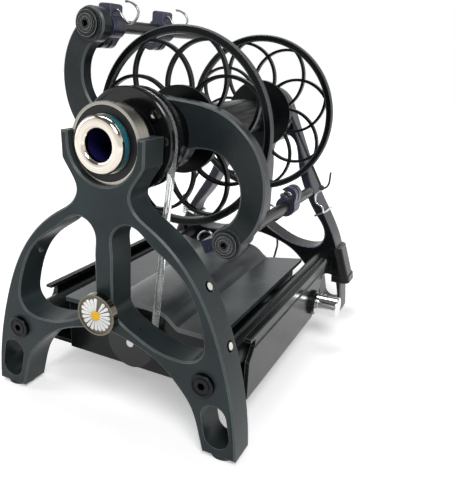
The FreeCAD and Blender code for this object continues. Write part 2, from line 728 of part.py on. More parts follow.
def lace_disc(y0, lace_y, phase):
    """Bobbin end: rim, interlaced petals and hub disc."""
    y1 = y0 + DISC_T
    rim = ring(BOBBIN_R, BOBBIN_R - RIM_W, y0, y1)
    rim = break_edges(rim, (y0, y1), 0.8)
    hub = disc(HUB_DISC_R, y0, y1)
    turns = [phase + 360.0 * k / LACE_COUNT for k in range(LACE_COUNT)]
    petals = [turned(side, turn) for turn in turns for side in petal_sides(lace_y)]
    return fused([rim, hub] + petals)


def bobbin_front():
    """Front disc with the nose that faces the yoke."""
    nose = disc(NOSE_R, NOSE_FRONT, BOBBIN_FRONT + 0.5)
    body = fused([lace_disc(BOBBIN_FRONT, BOBBIN_FRONT + 0.4, FRONT_PHASE), nose])
    return body.cut(disc(BUSH_R, NOSE_FRONT - 1, BOBBIN_FRONT + DISC_T + 1))


def bobbin_rear():
    body = lace_disc(BOBBIN_BACK - DISC_T, BOBBIN_BACK - LACE_T - 0.4, REAR_PHASE)
    return body.cut(disc(BUSH_R, BOBBIN_BACK - DISC_T - 1, BOBBIN_BACK + 1))


def bobbin_core():
    return ring(CORE_R, CORE_R - CORE_WALL, BOBBIN_FRONT + DISC_T, BOBBIN_BACK - DISC_T)


def brake_pulley():
    y0 = BOBBIN_BACK
    body = ring(BRAKE_R, BUSH_R, y0, BRAKE_BACK)
    middle = y0 + BRAKE_W / 2
    wide = BRAKE_GROOVE_W / 2
    profile = [vec(BRAKE_R + 1, middle - wide - 0.3, 0), vec(BRAKE_GROOVE_R, middle - wide + 0.3, 0),
               vec(BRAKE_GROOVE_R, middle + wide - 0.3, 0), vec(BRAKE_R + 1, middle + wide + 0.3, 0)]
    cutter = Part.Face(Part.makePolygon(profile + [profile[0]])).revolve(vec(0, 0, 0), AXIS_Y, 360)
    body = body.cut(cutter)
    return body.cut(ring(BRAKE_GROOVE_R - 3.5, BUSH_R + 2.5, BRAKE_BACK - 1.6, BRAKE_BACK + 1))


def bobbin_bushes():
    """Bushes that carry the bobbin on the shaft, one at each end."""
    front = ring(BUSH_R, SHAFT_R + RUN, NOSE_FRONT, NOSE_FRONT + BUSH_LENGTH)
    rear = ring(BUSH_R, SHAFT_R + RUN, BRAKE_BACK - BUSH_LENGTH, BRAKE_BACK)
    return [front, rear]


# ---- sliding hooks ----
def lobe_cuts(x, z, y0, y1):
    """Eye, mouth and split of the lobe, for a head along +X and the tube's axis at (x, z)."""
    aside, above = polar(LOBE_OUT, LOBE_ANGLE)
    place = (x + aside, z + above)
    eye = disc(LOBE_EYE_R, y0 - 1, y1 + 1, *place)
    half = LOBE_MOUTH / 2
    mouth = box(place[0], place[0] + 2 * LOBE_R, y0 - 1, y1 + 1, place[1] - half, place[1] + half)
    mouth = turned(mouth, LOBE_ANGLE - MOUTH_TURN, place)
    middle = (y0 + y1) / 2
    half = LOBE_SPLIT / 2
    start = ARM_TUBE_R + FIT + HOOK_WALL / 2
    split = box(x + start, x + LOBE_OUT + 2 * LOBE_R, middle - half, middle + half, z - 2 * LOBE_R, z + 2 * LOBE_R)
    return [eye, mouth, turned(split, LOBE_ANGLE, (x, z))]


def hook_block(arm, y, angle, reach, inset, side):
    """Block round the arm tube: its head points along angle, its open lobe lies on one side of it."""
    x, z = arm_centre(arm)
    inner = ARM_TUBE_R + FIT
    outer = inner + HOOK_WALL
    y0 = y - HOOK_LENGTH / 2
    y1 = y + HOOK_LENGTH / 2
    head = box(x, x + reach, y0, y1, z - HEAD_W / 2, z + HEAD_W / 2)
    far = x + reach
    head = round_edges(head, 1.6, lambda edge: edge.BoundBox.XMin > far - 0.01)
    aside, above = polar(LOBE_OUT, LOBE_ANGLE)
    lobe = disc(LOBE_R, y0, y1, x + aside, z + above)
    neck = turned(box(x, x + LOBE_OUT, y0, y1, z, z + LOBE_R), LOBE_ANGLE, (x, z))
    body = fused([disc(outer, y0, y1, x, z), head, lobe, neck]).cut(disc(inner, y0 - 1, y1 + 1, x, z))
    for cut in lobe_cuts(x, z, y0, y1):
        body = body.cut(cut)
    if side < 0:
        body = body.mirror(vec(x, y, z), AXIS_Z)
    hole = bar(WIRE_R + 0.05, vec(far - inset, y, z - HEAD_W), vec(far - inset, y, z - 0.5))
    return turned(body.cut(hole), angle, (x, z))


def hook_wire(arm, y, angle, reach, inset, eye):
    """Wire that leaves the head sideways and curls round into an open eye for the yarn."""
    x, z = arm_centre(arm)
    root = x + reach - inset
    side = z - HEAD_W / 2
    places = [(root, z - 0.6), (root, z - 2.4), (root, side - 0.2)]
    places += [(root + along, side + across) for along, across in eye]
    spline = Part.BSplineCurve()
    spline.interpolate([vec(px, y, pz) for px, pz in places])
    section = Part.Wire([Part.makeCircle(WIRE_R, vec(root, y, z - 0.6), vec(0, 0, -1))])
    wire = Part.Wire([spline.toShape()]).makePipeShell([section], True, False, 2)
    return turned(wire, angle, (x, z))


# ---- base ----
def lid_profile(drop):
    """Half of the lid's top line from the edge to the middle, lowered by drop."""
    crest = LID_HEIGHT + HUMP_RISE
    half = [(LID_CREASE, LID_HEIGHT), (LID_CREASE - 3.9, crest - 6.4), (LID_CREASE - 7.3, crest - 3.6),
            (LID_CREASE - 11.5, crest - 1.5), (LID_CREASE - 16.3, crest - 0.5)]
    right = [(x, up(height) - drop) for x, height in half]
    left = [(-x, z) for x, z in reversed(right)]
    return right + [(0.0, up(crest) - drop)] + left


def arched_plate(drop, half, bottom, y0, thickness):
    """Plate whose top follows the lid's line lowered by drop, down to the height bottom."""
    ridge = lid_profile(drop)
    shoulder = ridge[0][1]
    edges = [line((half, shoulder), ridge[0]), curve(ridge), line(ridge[-1], (-half, shoulder))]
    edges += [line((-half, shoulder), (-half, bottom)), line((-half, bottom), (half, bottom))]
    edges += [line((half, bottom), (half, shoulder))]
    return plate(edges, y0, thickness)


def lid_shell():
    top = lid_profile(0.0)
    under = lid_profile(LID_T)
    length = LID_BACK + LID_EAR - LID_FRONT
    edges = [line((LID_HALF, top[0][1]), top[0]), curve(top), line(top[-1], (-LID_HALF, top[0][1]))]
    edges += [line((-LID_HALF, top[0][1]), (-LID_HALF, under[0][1])), line((-LID_HALF, under[0][1]), under[-1])]
    edges += [curve(under), line(under[0], (LID_HALF, under[0][1]))]
    edges += [line((LID_HALF, under[0][1]), (LID_HALF, top[0][1]))]
    return plate(edges, LID_FRONT, length)


def lid_cut():
    """Cutter for the lid's back edge: square in the middle, swept back to the corners."""
    end = LID_BACK + LID_EAR + 5
    low = up(LID_HEIGHT) - 10
    corners = [(-LID_HALF - 1, LID_BACK + LID_EAR), (-LID_CREASE, LID_BACK), (LID_CREASE, LID_BACK),
               (LID_HALF + 1, LID_BACK + LID_EAR), (LID_HALF + 1, end), (-LID_HALF - 1, end)]
    places = [vec(x, y, low) for x, y in corners]
    return Part.Face(Part.makePolygon(places + [places[0]])).extrude(vec(0, 0, 40))


def post_places():
    return [(x, y) for x in (-RIB_X + 5.5, RIB_X - 5.5) for y in (BASE_FRONT + 8.0, SPEED_Y - POT_R - POST_R - 1.4)]


def base_lid():
    body = lid_shell().cut(lid_cut())
    under = up(LID_HEIGHT) - LID_T
    floor = up(BASE_FLOOR + FLOOR_T)
    for x, y in post_places():
        post = Part.makeCylinder(POST_R, under + 0.5 - floor, vec(x, y, floor), AXIS_Z)
        body = body.fuse(post).cut(Part.makeCylinder(LID_SCREW_R, 12, vec(x, y, floor - 1), AXIS_Z))
    return body.removeSplitter()


def side_wall():
    """Right side wall with its leaning back edge, the front notch and the lip over the tie bar."""
    corners = [(BASE_FRONT, BASE_FLOOR), (WALL_BACK_LOW, BASE_FLOOR), (WALL_BACK_TOP, WALL_TOP),
               (BASE_FRONT + NOTCH, WALL_TOP), (BASE_FRONT + NOTCH, WALL_TOP - 5.0), (BASE_FRONT, WALL_TOP - 13.0)]
    places = [vec(WALL_IN, y, up(height)) for y, height in corners]
    wall = Part.Face(Part.makePolygon(places + [places[0]])).extrude(vec(BASE_WALL, 0, 0))
    y1 = WALL_BACK_TOP
    lip = box(WALL_OUT - LIP_W, WALL_OUT, BASE_FRONT, y1, up(WALL_TOP), up(WALL_TOP) + LIP_T)
    lip = round_edges(lip, 1.0, lambda edge: edge.BoundBox.XMin > WALL_OUT - 0.01
                      and edge.BoundBox.YLength > 10 and edge.BoundBox.ZMin > up(WALL_TOP) + 0.1)
    lip_foot = box(WALL_IN, WALL_OUT, BASE_FRONT + NOTCH, y1, up(WALL_TOP) - 1, up(WALL_TOP) + 1)
    bead = Part.makeCylinder(0.9, WALL_BACK_TOP - BASE_FRONT - 22, vec(WALL_OUT - 0.1, BASE_FRONT + NOTCH, up(49.5)),
                             AXIS_Y)
    return fused([wall, lip, lip_foot, bead])


def base_tray():
    low = up(BASE_FLOOR)
    high = low + FLOOR_T
    rib_out = RIB_X + RIB_T
    under = up(LID_HEIGHT) - LID_T
    parts = [box(-WALL_OUT, WALL_OUT, BASE_FRONT, WALL_BACK_LOW, low, high)]
    parts.append(box(-rib_out, rib_out, BASE_FRONT, BOX_BACK, low, high))
    parts += both_sides(box(RIB_X, rib_out, BASE_FRONT - 0.1, BOX_BACK, low, under))
    parts += both_sides(side_wall())
    parts.append(box(-rib_out, rib_out, BOX_BACK - PANEL_T, BOX_BACK, low, under))
    parts.append(arched_plate(LID_T + 0.05, rib_out, low, BASE_FRONT - 2.5, PANEL_T))
    saddle = MOTOR_FACE + MOTOR_LENGTH - 14
    parts.append(box(-15, 15, saddle, saddle + 8, high - 0.5, MOTOR_Z - 8))
    body = fused(parts)
    body = body.cut(disc(6.2, BASE_FRONT - 5, BASE_FRONT + 3, 0, MOTOR_Z))
    body = body.cut(disc(MOTOR_R + 0.05, MOTOR_FACE, MOTOR_FACE + MOTOR_LENGTH + 5, 0, MOTOR_Z))
    for x, z in motor_screw_places():
        body = body.cut(disc(1.6, BASE_FRONT - 5, BASE_FRONT + 3, x, z))
    for x, y in post_places():
        body = body.cut(Part.makeCylinder(LID_SCREW_R + 0.2, 10, vec(x, y, low - 5), AXIS_Z))
    speed = up(SPEED_HEIGHT)
    body = body.cut(bar(POT_SHAFT_R + 0.8, vec(RIB_X - 2, SPEED_Y, speed), vec(WALL_OUT + 2, SPEED_Y, speed)))
    for x, radius in ((JACK_X, JACK_R), (PEDAL_X, PEDAL_R), (TOGGLE_X, TOGGLE_R)):
        body = body.cut(disc(radius + 0.1, BOX_BACK - PANEL_T - 1, BOX_BACK + 1, x, PANEL_Z))
    return body.cut(lead_hole(lead_points()[-1], lead_points()[-2]))


def base_screws():
    """Screws up through the tray's floor into the posts under the lid."""
    screws = []
    low = up(BASE_FLOOR)
    for x, y in post_places():
        head = Part.makeCylinder(2.8, 1.6, vec(x, y, low - 1.6), AXIS_Z)
        shank = Part.makeCylinder(LID_SCREW_R - 0.03, 11.0, vec(x, y, low - 0.1), AXIS_Z)
        cross = box(x - 1.6, x + 1.6, y - 0.35, y + 0.35, low - 2, low - 0.9)
        cross = cross.fuse(box(x - 0.35, x + 0.35, y - 1.6, y + 1.6, low - 2, low - 0.9))
        screws.append(fused([head, shank]).cut(cross))
    return screws


# ---- motor and belt drive ----
PULLEY_FRONT = GROOVE_Y - 3.8
PULLEY_BACK = GROOVE_Y + 3.4
MOTOR_FACE = BASE_FRONT - 2.5 + PANEL_T


def motor_screw_places():
    return [(x, MOTOR_Z + z) for x, z in (polar(12.0, 45.0), polar(12.0, 225.0))]


def motor_can():
    body = disc(MOTOR_R, MOTOR_FACE, MOTOR_FACE + MOTOR_LENGTH, 0, MOTOR_Z)
    body = break_edges(body, (MOTOR_FACE, MOTOR_FACE + MOTOR_LENGTH), 1.2)
    body = fused([body, disc(6.0, MOTOR_FACE - 2.2, MOTOR_FACE + 1, 0, MOTOR_Z),
                  disc(5.0, MOTOR_FACE + MOTOR_LENGTH - 1, MOTOR_FACE + MOTOR_LENGTH + 4, 0, MOTOR_Z)])
    body = body.cut(disc(MOTOR_SHAFT_R + RUN, MOTOR_FACE - 5, MOTOR_FACE + 30, 0, MOTOR_Z))
    for x, z in motor_screw_places():
        body = body.cut(disc(1.5, MOTOR_FACE - 1, MOTOR_FACE + 6, x, z))
    return body


def motor_screws():
    screws = []
    for x, z in motor_screw_places():
        face = BASE_FRONT - 2.5
        shank = disc(1.47, face - 0.1, MOTOR_FACE + 5, x, z)
        screws.append(fused([disc(2.4, face - 0.25, face, x, z), shank]))
    return screws


def motor_shaft():
    return disc(MOTOR_SHAFT_R, PULLEY_FRONT - 0.6, MOTOR_FACE + 28, 0, MOTOR_Z)


def motor_pulley():
    rim = PULLEY_BELT_R + 2.6
    body = disc(rim, PULLEY_FRONT, PULLEY_BACK, 0, MOTOR_Z)
    body = body.cut(belt_groove(rim, PULLEY_BELT_R, MOTOR_Z))
    return body.cut(disc(MOTOR_SHAFT_R + 0.02, PULLEY_FRONT - 1, PULLEY_BACK + 1, 0, MOTOR_Z))


def drive_belt():
    """Clear round belt: two straight runs tangent to both pulleys, and an arc round each."""
    gap = -MOTOR_Z
    lean = math.asin((BELT_LINE - PULLEY_BELT_R) / gap)
    cos, sin = math.cos(lean), math.sin(lean)
    top = (BELT_LINE * cos, BELT_LINE * -sin)
    foot = (PULLEY_BELT_R * cos, MOTOR_Z - PULLEY_BELT_R * sin)
    y = GROOVE_Y
    a, b = vec(top[0], y, top[1]), vec(foot[0], y, foot[1])
    c, d = vec(-foot[0], y, foot[1]), vec(-top[0], y, top[1])
    runs = [bar(BELT_R, a, b), bar(BELT_R, d, c)]
    open_angle = 180.0 + 2 * math.degrees(lean)
    over = Part.makeTorus(BELT_LINE, BELT_R, vec(0, 0, 0), AXIS_Z, -180, 180, open_angle)
    over.rotate(vec(0, 0, 0), AXIS_X, 90)
    over = turned(over, -math.degrees(lean))
    over.translate(vec(0, y, 0))
    under = Part.makeTorus(PULLEY_BELT_R, BELT_R, vec(0, 0, 0), AXIS_Z, -180, 180, 360.0 - open_angle)
    under.rotate(vec(0, 0, 0), AXIS_X, 90)
    under = turned(under, 180.0 + math.degrees(lean))
    under.translate(vec(0, y, MOTOR_Z))
    return fused([over, under] + runs)


# ---- controls ----
PANEL_Z = up(35.0)
JACK_X = 4.0
JACK_R = 5.5
PEDAL_X = 26.0
PEDAL_R = 4.5
TOGGLE_X = -24.0
TOGGLE_R = 5.8
TOGGLE_BALL = 2.4
TOGGLE_PIVOT = BOX_BACK - 2.0


def socket(x, radius, hole_r, depth):
    """Round panel socket: barrel behind the panel, flange and open hole."""
    panel = BOX_BACK
    body = fused([disc(radius, panel - depth, panel + 0.5, x, PANEL_Z),
                  disc(radius + 1.8, panel, panel + 1.6, x, PANEL_Z)])
    return body.cut(disc(hole_r, panel - depth + 3, panel + 3, x, PANEL_Z))


def power_jack():
    return socket(JACK_X, JACK_R, 3.2, 14.0)


def pedal_jack():
    return socket(PEDAL_X, PEDAL_R, 1.8, 13.0)


def toggle_body():
    panel = BOX_BACK
    case = box(TOGGLE_X - 6.5, TOGGLE_X + 6.5, panel - 14, panel - PANEL_T, PANEL_Z - 5, PANEL_Z + 5)
    bush = disc(TOGGLE_R, panel - PANEL_T - 0.2, panel + 3.2, TOGGLE_X, PANEL_Z)
    nut = hexagon(TOGGLE_R + 2.4, panel, panel + 1.8, TOGGLE_X, PANEL_Z)
    body = fused([case, bush, nut])
    bowl = Part.makeCone(2.2, 4.2, 6.0, vec(TOGGLE_X, TOGGLE_PIVOT, PANEL_Z), AXIS_Y)
    return body.cut(bowl).cut(Part.makeSphere(TOGGLE_BALL + FIT, vec(TOGGLE_X, TOGGLE_PIVOT, PANEL_Z)))


def toggle_lever():
    shank = Part.makeCone(1.2, 2.1, 12.0, vec(TOGGLE_X, TOGGLE_PIVOT, PANEL_Z), AXIS_Y)
    tip = Part.makeSphere(2.1, vec(TOGGLE_X, TOGGLE_PIVOT + 12.0, PANEL_Z))
    return fused([shank, tip, Part.makeSphere(TOGGLE_BALL, vec(TOGGLE_X, TOGGLE_PIVOT, PANEL_Z))])


def speed_pot():
    z = up(SPEED_HEIGHT)
    body = bar(POT_R, vec(RIB_X - POT_LENGTH, SPEED_Y, z), vec(RIB_X, SPEED_Y, z))
    bush = bar(POT_SHAFT_R + 0.7, vec(RIB_X - 0.5, SPEED_Y, z), vec(WALL_OUT + COLLAR_T, SPEED_Y, z))
    body = fused([body, bush])
    hole = bar(POT_SHAFT_R + RUN, vec(RIB_X - POT_LENGTH + 3, SPEED_Y, z), vec(WALL_OUT + 9, SPEED_Y, z))
    return body.cut(hole)


def knob_collar():
    z = up(SPEED_HEIGHT)
    body = bar(COLLAR_R, vec(WALL_OUT, SPEED_Y, z), vec(WALL_OUT + COLLAR_T, SPEED_Y, z))
    return body.cut(bar(POT_SHAFT_R + 0.72, vec(WALL_OUT - 1, SPEED_Y, z), vec(WALL_OUT + 9, SPEED_Y, z)))


def knob_shaft():
    z = up(SPEED_HEIGHT)
    start = vec(RIB_X - POT_LENGTH + 3.5, SPEED_Y, z)
    return bar(POT_SHAFT_R, start, vec(WALL_OUT + COLLAR_T + 12, SPEED_Y, z))


def speed_knob():
    z = up(SPEED_HEIGHT)
    x0 = WALL_OUT + COLLAR_T + FIT
    x1 = x0 + KNOB_LENGTH
    body = bar(KNOB_R, vec(x0, SPEED_Y, z), vec(x1, SPEED_Y, z))
    body = round_edges(body, 0.9, lambda edge: edge.BoundBox.XLength < 0.01)
    body = body.cut(bar(POT_SHAFT_R + 0.02, vec(x0 - 1, SPEED_Y, z), vec(x0 + 12.5, SPEED_Y, z)))
    groove_x = x0 + 3.2
    outside = bar(KNOB_R + 1, vec(groove_x, SPEED_Y, z), vec(groove_x + 0.7, SPEED_Y, z))
    inside = bar(KNOB_R - 0.35, vec(groove_x - 1, SPEED_Y, z), vec(groove_x + 2, SPEED_Y, z))
    body = body.cut(outside.cut(inside))
    return body.cut(bar(1.5, vec(x0 + 7, SPEED_Y, z + POT_SHAFT_R), vec(x0 + 7, SPEED_Y, z + KNOB_R + 1)))


def knob_set_screw():
    z = up(SPEED_HEIGHT)
    x = WALL_OUT + COLLAR_T + FIT + 7
    body = bar(1.47, vec(x, SPEED_Y, z + POT_SHAFT_R + 0.03), vec(x, SPEED_Y, z + KNOB_R - 0.4))
    return body.cut(bar(0.7, vec(x, SPEED_Y, z + KNOB_R - 1.6), vec(x, SPEED_Y, z + KNOB_R)))


def circuit_board():
    low = up(BASE_FLOOR + FLOOR_T) + STANDOFF
    body = box(BOARD_LEFT, BOARD_LEFT + BOARD_WIDE, BOARD_FRONT, BOARD_FRONT + BOARD_DEEP, low, low + BOARD_T)
    for x, y in board_posts():
        body = body.cut(Part.makeCylinder(1.3, 4, vec(x, y, low - 1), AXIS_Z))
    return body


def board_posts():
    inset = 3.5
    columns = (BOARD_LEFT + inset, BOARD_LEFT + BOARD_WIDE - inset)
    return [(x, y) for y in (BOARD_FRONT + inset, BOARD_FRONT + BOARD_DEEP - inset) for x in columns]


def board_standoffs():
    low = up(BASE_FLOOR + FLOOR_T)
    posts = []
    for x, y in board_posts():
        foot = Part.makeCylinder(2.6, STANDOFF, vec(x, y, low), AXIS_Z)
        posts.append(fused([foot, Part.makeCylinder(1.27, STANDOFF + BOARD_T + 0.8, vec(x, y, low), AXIS_Z)]))
    return posts


def board_parts():
    """Driver chip, two capacitors and a terminal block on the board."""
    low = up(BASE_FLOOR + FLOOR_T) + STANDOFF + BOARD_T
    x, y = BOARD_LEFT, BOARD_FRONT
    chip = box(x + 18, x + 32, y + 12, y + 26, low, low + 3.2)
    tall = [Part.makeCylinder(4.0, 12.0, vec(x + along, y + 32, low), AXIS_Z) for along in (14.0, 25.0)]
    terminal = box(x + 38, x + 50, y + 8, y + 16, low, low + 9.0)
    return [chip, terminal] + tall


# ---- leg sleeves ----
def sleeve_section(span, grow, z):
    """Closed outline of the sleeve at one height."""
    x0, x1 = span
    y0 = REAR_Y - SLEEVE_WALL - grow
    y1 = BACK_Y + SLEEVE_WALL - 1.0 + grow
    places = [vec(x0, y0, z), vec(x1 + grow, y0, z), vec(x1 + grow, y1, z), vec(x0, y1, z), vec(x0, y0, z)]
    return Part.makePolygon(places)


def outer_corners(solid, radius):
    """Round the two upright corners on the outside of a leg sleeve."""
    middle = (REAR_Y + BACK_Y) / 2
    picked = []
    for edge in solid.Edges:
        extent = edge.BoundBox
        away = min(abs(extent.YMin - middle), abs(extent.YMax - middle)) > 5
        if extent.ZLength > 3 and away and extent.XMax > SLEEVE_HIGH_X[1] - 0.5:
            picked.append(edge)
    return solid.makeFillet(radius, picked)


def leg_sleeve():
    """Moulded sleeve round the outside of the right rear leg, leaning with it, thicker at its foot."""
    low, high = up(SLEEVE_LOW), up(SLEEVE_HIGH)
    body = Part.makeLoft([sleeve_section(SLEEVE_LOW_X, 0.0, low), sleeve_section(SLEEVE_HIGH_X, 0.0, high)], True)
    body = outer_corners(body, 6.0)
    foot = (SLEEVE_LOW_X[0] + 0.4, SLEEVE_LOW_X[1] + 0.9)
    collar = Part.makeLoft([sleeve_section(foot, 0.8, low - SLEEVE_COLLAR),
                            sleeve_section(SLEEVE_LOW_X, 0.8, low + 0.6)], True)
    collar = outer_corners(collar, 6.8)
    leg = plate(rear_outline(), REAR_Y - 0.1, FRAME_T + 0.2)
    wider = leg.copy()
    wider.translate(vec(0.12, 0, 0))
    return fused([body, collar]).cut(leg).cut(wider)


# ---- brake ----
RIGHT_KNOT = (56.6, up(107.6))
LEFT_KNOT = (-69.6, up(81.0))
CORD_TAIL = [(0.0, 0.0), (2.6, 0.2), (5.0, 2.6), (6.0, 7.0), (6.2, 13.0)]
TAIL_R = 0.8


def tangent_point(knot, side):
    """Where a straight cord from the knot first touches the brake groove."""
    x, z = knot
    length = math.hypot(x, z)
    spread = math.acos(CORD_LINE / length)
    angle = math.atan2(z, x) + side * spread
    return CORD_LINE * math.cos(angle), CORD_LINE * math.sin(angle)


def brake_cord():
    """Cord from the left knot over the bobbin's brake groove to the right knot."""
    right = tangent_point(RIGHT_KNOT, 1)
    left = tangent_point(LEFT_KNOT, -1)
    y = CORD_Y
    start = vec(RIGHT_KNOT[0], y, RIGHT_KNOT[1])
    end = vec(LEFT_KNOT[0], y, LEFT_KNOT[1])
    a, b = vec(right[0], y, right[1]), vec(left[0], y, left[1])
    over = Part.Arc(a, vec(0, y, CORD_LINE), b)
    path = Part.Wire([Part.makeLine(start, a), over.toShape(), Part.makeLine(b, end)])
    section = Part.Wire([Part.makeCircle(CORD_R, start, a - start)])
    return path.makePipeShell([section], True, False, 2)


def knots():
    """A round knot at each end of the cord."""
    shapes = []
    for x, z in (RIGHT_KNOT, LEFT_KNOT):
        shapes.append(Part.makeSphere(2.3, vec(x, CORD_Y, z)))
    return shapes


def cord_tail():
    """The cord's free end past the right knot, stiff enough to stand up."""
    x, z = RIGHT_KNOT
    places = [vec(x + along, CORD_Y, z + up_by) for along, up_by in CORD_TAIL]
    spline = Part.BSplineCurve()
    spline.interpolate(places)
    section = Part.Wire([Part.makeCircle(TAIL_R, places[0], spline.tangent(0.0)[0])])
    tail = Part.Wire([spline.toShape()]).makePipeShell([section], True, False, 2)
    return fused([tail, Part.makeSphere(TAIL_R, places[-1])])


def wire_path(points, radius):
    """Bent wire: straight runs with an arc at each inner point."""
    places = [vec(*p) for p in points]
    edges = []
    last = places[0]
    for before, corner, after in zip(places, places[1:], places[2:]):
        to_start = (before - corner).normalize()
        to_end = (after - corner).normalize()
        cut = 0.45 * min((before - corner).Length, (after - corner).Length)
        a = corner + to_start * cut
        b = corner + to_end * cut
        half = to_start.getAngle(to_end) / 2
        bisector = (to_start + to_end).normalize()
        centre = corner + bisector * (cut / math.cos(half))
        middle = centre - bisector * (cut * math.tan(half))
        edges.append(Part.makeLine(last, a))
        edges.append(Part.Arc(a, middle, b).toShape())
        last = b
    edges.append(Part.makeLine(last, places[-1]))
    section = Part.Wire([Part.makeCircle(radius, places[0], places[1] - places[0])])
    return Part.Wire(edges).makePipeShell([section], True, False, 2)


HOOK_Y = REAR_Y - 2.6


def brake_hook():
    """S hook of bent wire between the right knot and the band on the leg."""
    z = up(0)
    points = [(RIGHT_KNOT[0] - 0.6, HOOK_Y, RIGHT_KNOT[1] - 2.9), (51.2, HOOK_Y, z + 100.6),
              (52.2, HOOK_Y, z + 93.4), (58.6, HOOK_Y, z + 91.6), (59.4, HOOK_Y, z + 86.4)]
    return wire_path(points, RING_WIRE_R)


def brake_spring():
    """Coil spring between the left knot and the band on the left leg."""
    length = 13.0
    helix = Part.makeHelix(1.7, length, 2.1)
    section = Part.Wire([Part.makeCircle(0.5, vec(2.1, 0, 0), AXIS_Y)])
    coil = Part.Wire(helix).makePipeShell([section], True, True)
    coil.rotate(vec(0, 0, 0), AXIS_X, 180)
    coil.translate(vec(LEFT_KNOT[0], CORD_Y + 0.4, LEFT_KNOT[1] - 2.6))
    return coil


def band(x0, x1, z, tilt):
    """Wire band round a leg, a closed rectangle with round corners."""
    y0 = REAR_Y - RING_WIRE_R - 0.1
    y1 = BACK_Y + RING_WIRE_R + 0.1
    block = box(x0 - RING_WIRE_R, x1 + RING_WIRE_R, y0 - RING_WIRE_R, y1 + RING_WIRE_R, z - RING_WIRE_R,
                z + RING_WIRE_R)
    block = round_edges(block, 2.4, lambda edge: edge.BoundBox.ZLength > 1)
    inner = box(x0 + RING_WIRE_R, x1 - RING_WIRE_R, y0 + RING_WIRE_R, y1 - RING_WIRE_R, z - 2, z + 2)
    inner = round_edges(inner, 1.0, lambda edge: edge.BoundBox.ZLength > 1)
    return turned(block.cut(inner), tilt, ((x0 + x1) / 2, z))


def brake_bands():
    right = band(51.4, 61.4, up(84.6), 30.0)
    left = band(-71.9, -59.9, up(66.4), -18.0)
    return [right, left]


def rear_lead():
    """Thin lead from a hole under the rear bridge through the tray's back panel."""
    return wire_path(lead_points(), LEAD_R)


# ---- badge ----
def badge_magnet():
    return disc(5.0, -2.8, 0.0, 0, up(BADGE_HEIGHT))


def badge_bezel():
    z = up(BADGE_HEIGHT)
    body = disc(BADGE_R, BADGE_FRONT + 0.6, -2.8, 0, z)
    body = body.cut(disc(BADGE_R - 1.1, BADGE_FRONT - 1, BADGE_FRONT + 2.2, 0, z))
    return round_edges(body, 0.8, lambda edge: abs(edge.BoundBox.YMin + 2.8) < 0.01)


def badge_ground():
    z = up(BADGE_HEIGHT)
    return disc(BADGE_R - 1.12, BADGE_FRONT + 1.0, BADGE_FRONT + 2.2, 0, z)


def badge_petals():
    z = up(BADGE_HEIGHT)
    parts = [disc(3.0, BADGE_FRONT + 0.5, BADGE_FRONT + 1.0, 0, z)]
    for k in range(PETALS):
        petal = box(2.0, BADGE_R - 2.9, BADGE_FRONT + 0.5, BADGE_FRONT + 1.0, z - 0.62, z + 0.62)
        tip = disc(0.95, BADGE_FRONT + 0.5, BADGE_FRONT + 1.0, BADGE_R - 2.9, z)
        parts.append(turned(petal, 360.0 * k / PETALS, (0.0, z)))
        parts.append(turned(tip, 360.0 * k / PETALS, (0.0, z)))
    return fused(parts)


def badge_centre():
    z = up(BADGE_HEIGHT)
    body = disc(2.7, BADGE_FRONT - 0.3, BADGE_FRONT + 0.5, 0, z)
    return round_edges(body, 0.5, lambda edge: abs(edge.BoundBox.YMax - BADGE_FRONT + 0.3) < 0.01)


# ---- everything, node by node ----
def export(node, shapes):
    """Write one STEP file for a node, whether it is one solid or a group of them."""
    group = shapes if isinstance(shapes, list) else [shapes]
    solids = [solid for shape in group for solid in shape.Solids]
    for solid in solids:
        if solid.Volume < 0:
            solid.reverse()
    whole = solids[0] if len(solids) == 1 else Part.makeCompound(solids)
    whole.exportStep("parts/" + node + ".step")
    box_of = whole.BoundBox
    print("%-24s solids %2d  valid %s  volume %9.1f  y %.1f..%.1f  z %.1f..%.1f" % (
        node, len(solids), whole.isValid(), whole.Volume, box_of.YMin, box_of.YMax, box_of.ZMin, box_of.ZMax))


def build_stand():
    export("front_frame", front_frame())
    export("rear_frame", rear_frame())
    export("tie_bars", tie_bars())
    export("tie_screws", tie_screws())
    export("rubber_feet", rubber_feet())
    export("edge_pins", edge_pins())
    export("leg_sleeves", both_sides(leg_sleeve()))


def build_bearings():
    for name, sizes, y0 in (("front_bearing", FRONT_BEARING, BEARING_SETBACK),
                            ("rear_bearing", REAR_BEARING, REAR_BEARING_Y)):
        outer, inner, seals, balls = bearing(sizes, y0)
        export(name + "_outer", outer)
        export(name + "_inner", inner)
        export(name + "_seals", seals + balls)


def build_flyer():
    export("orifice_ring", orifice_ring())
    export("teal_spacer", spacer_ring())
    export("orifice_tube", orifice_tube())
    export("tube_end", tube_end())
    export("whorl", whorl())
    export("whorl_screws", whorl_screws())
    export("hub_sleeves", [whorl_spacer(), hub_sleeve()])
    export("flyer_yoke", flyer_yoke())
    export("flyer_arms", flyer_arms())
    export("arm_caps", arm_caps() + arm_plugs())
    export("flyer_shaft", [flyer_shaft()] + shaft_spacers())
    for name, arm, y, angle, reach, inset, eye, side in HOOKS:
        export(name + "_block", hook_block(arm, y, angle, reach, inset, side))
        export(name + "_wire", hook_wire(arm, y, angle, reach, inset, eye))


def build_bobbin():
    export("bobbin_front_disc", bobbin_front())
    export("bobbin_rear_disc", bobbin_rear())
    export("bobbin_core", bobbin_core())
    export("brake_pulley", brake_pulley())
    export("bobbin_bushes", bobbin_bushes())


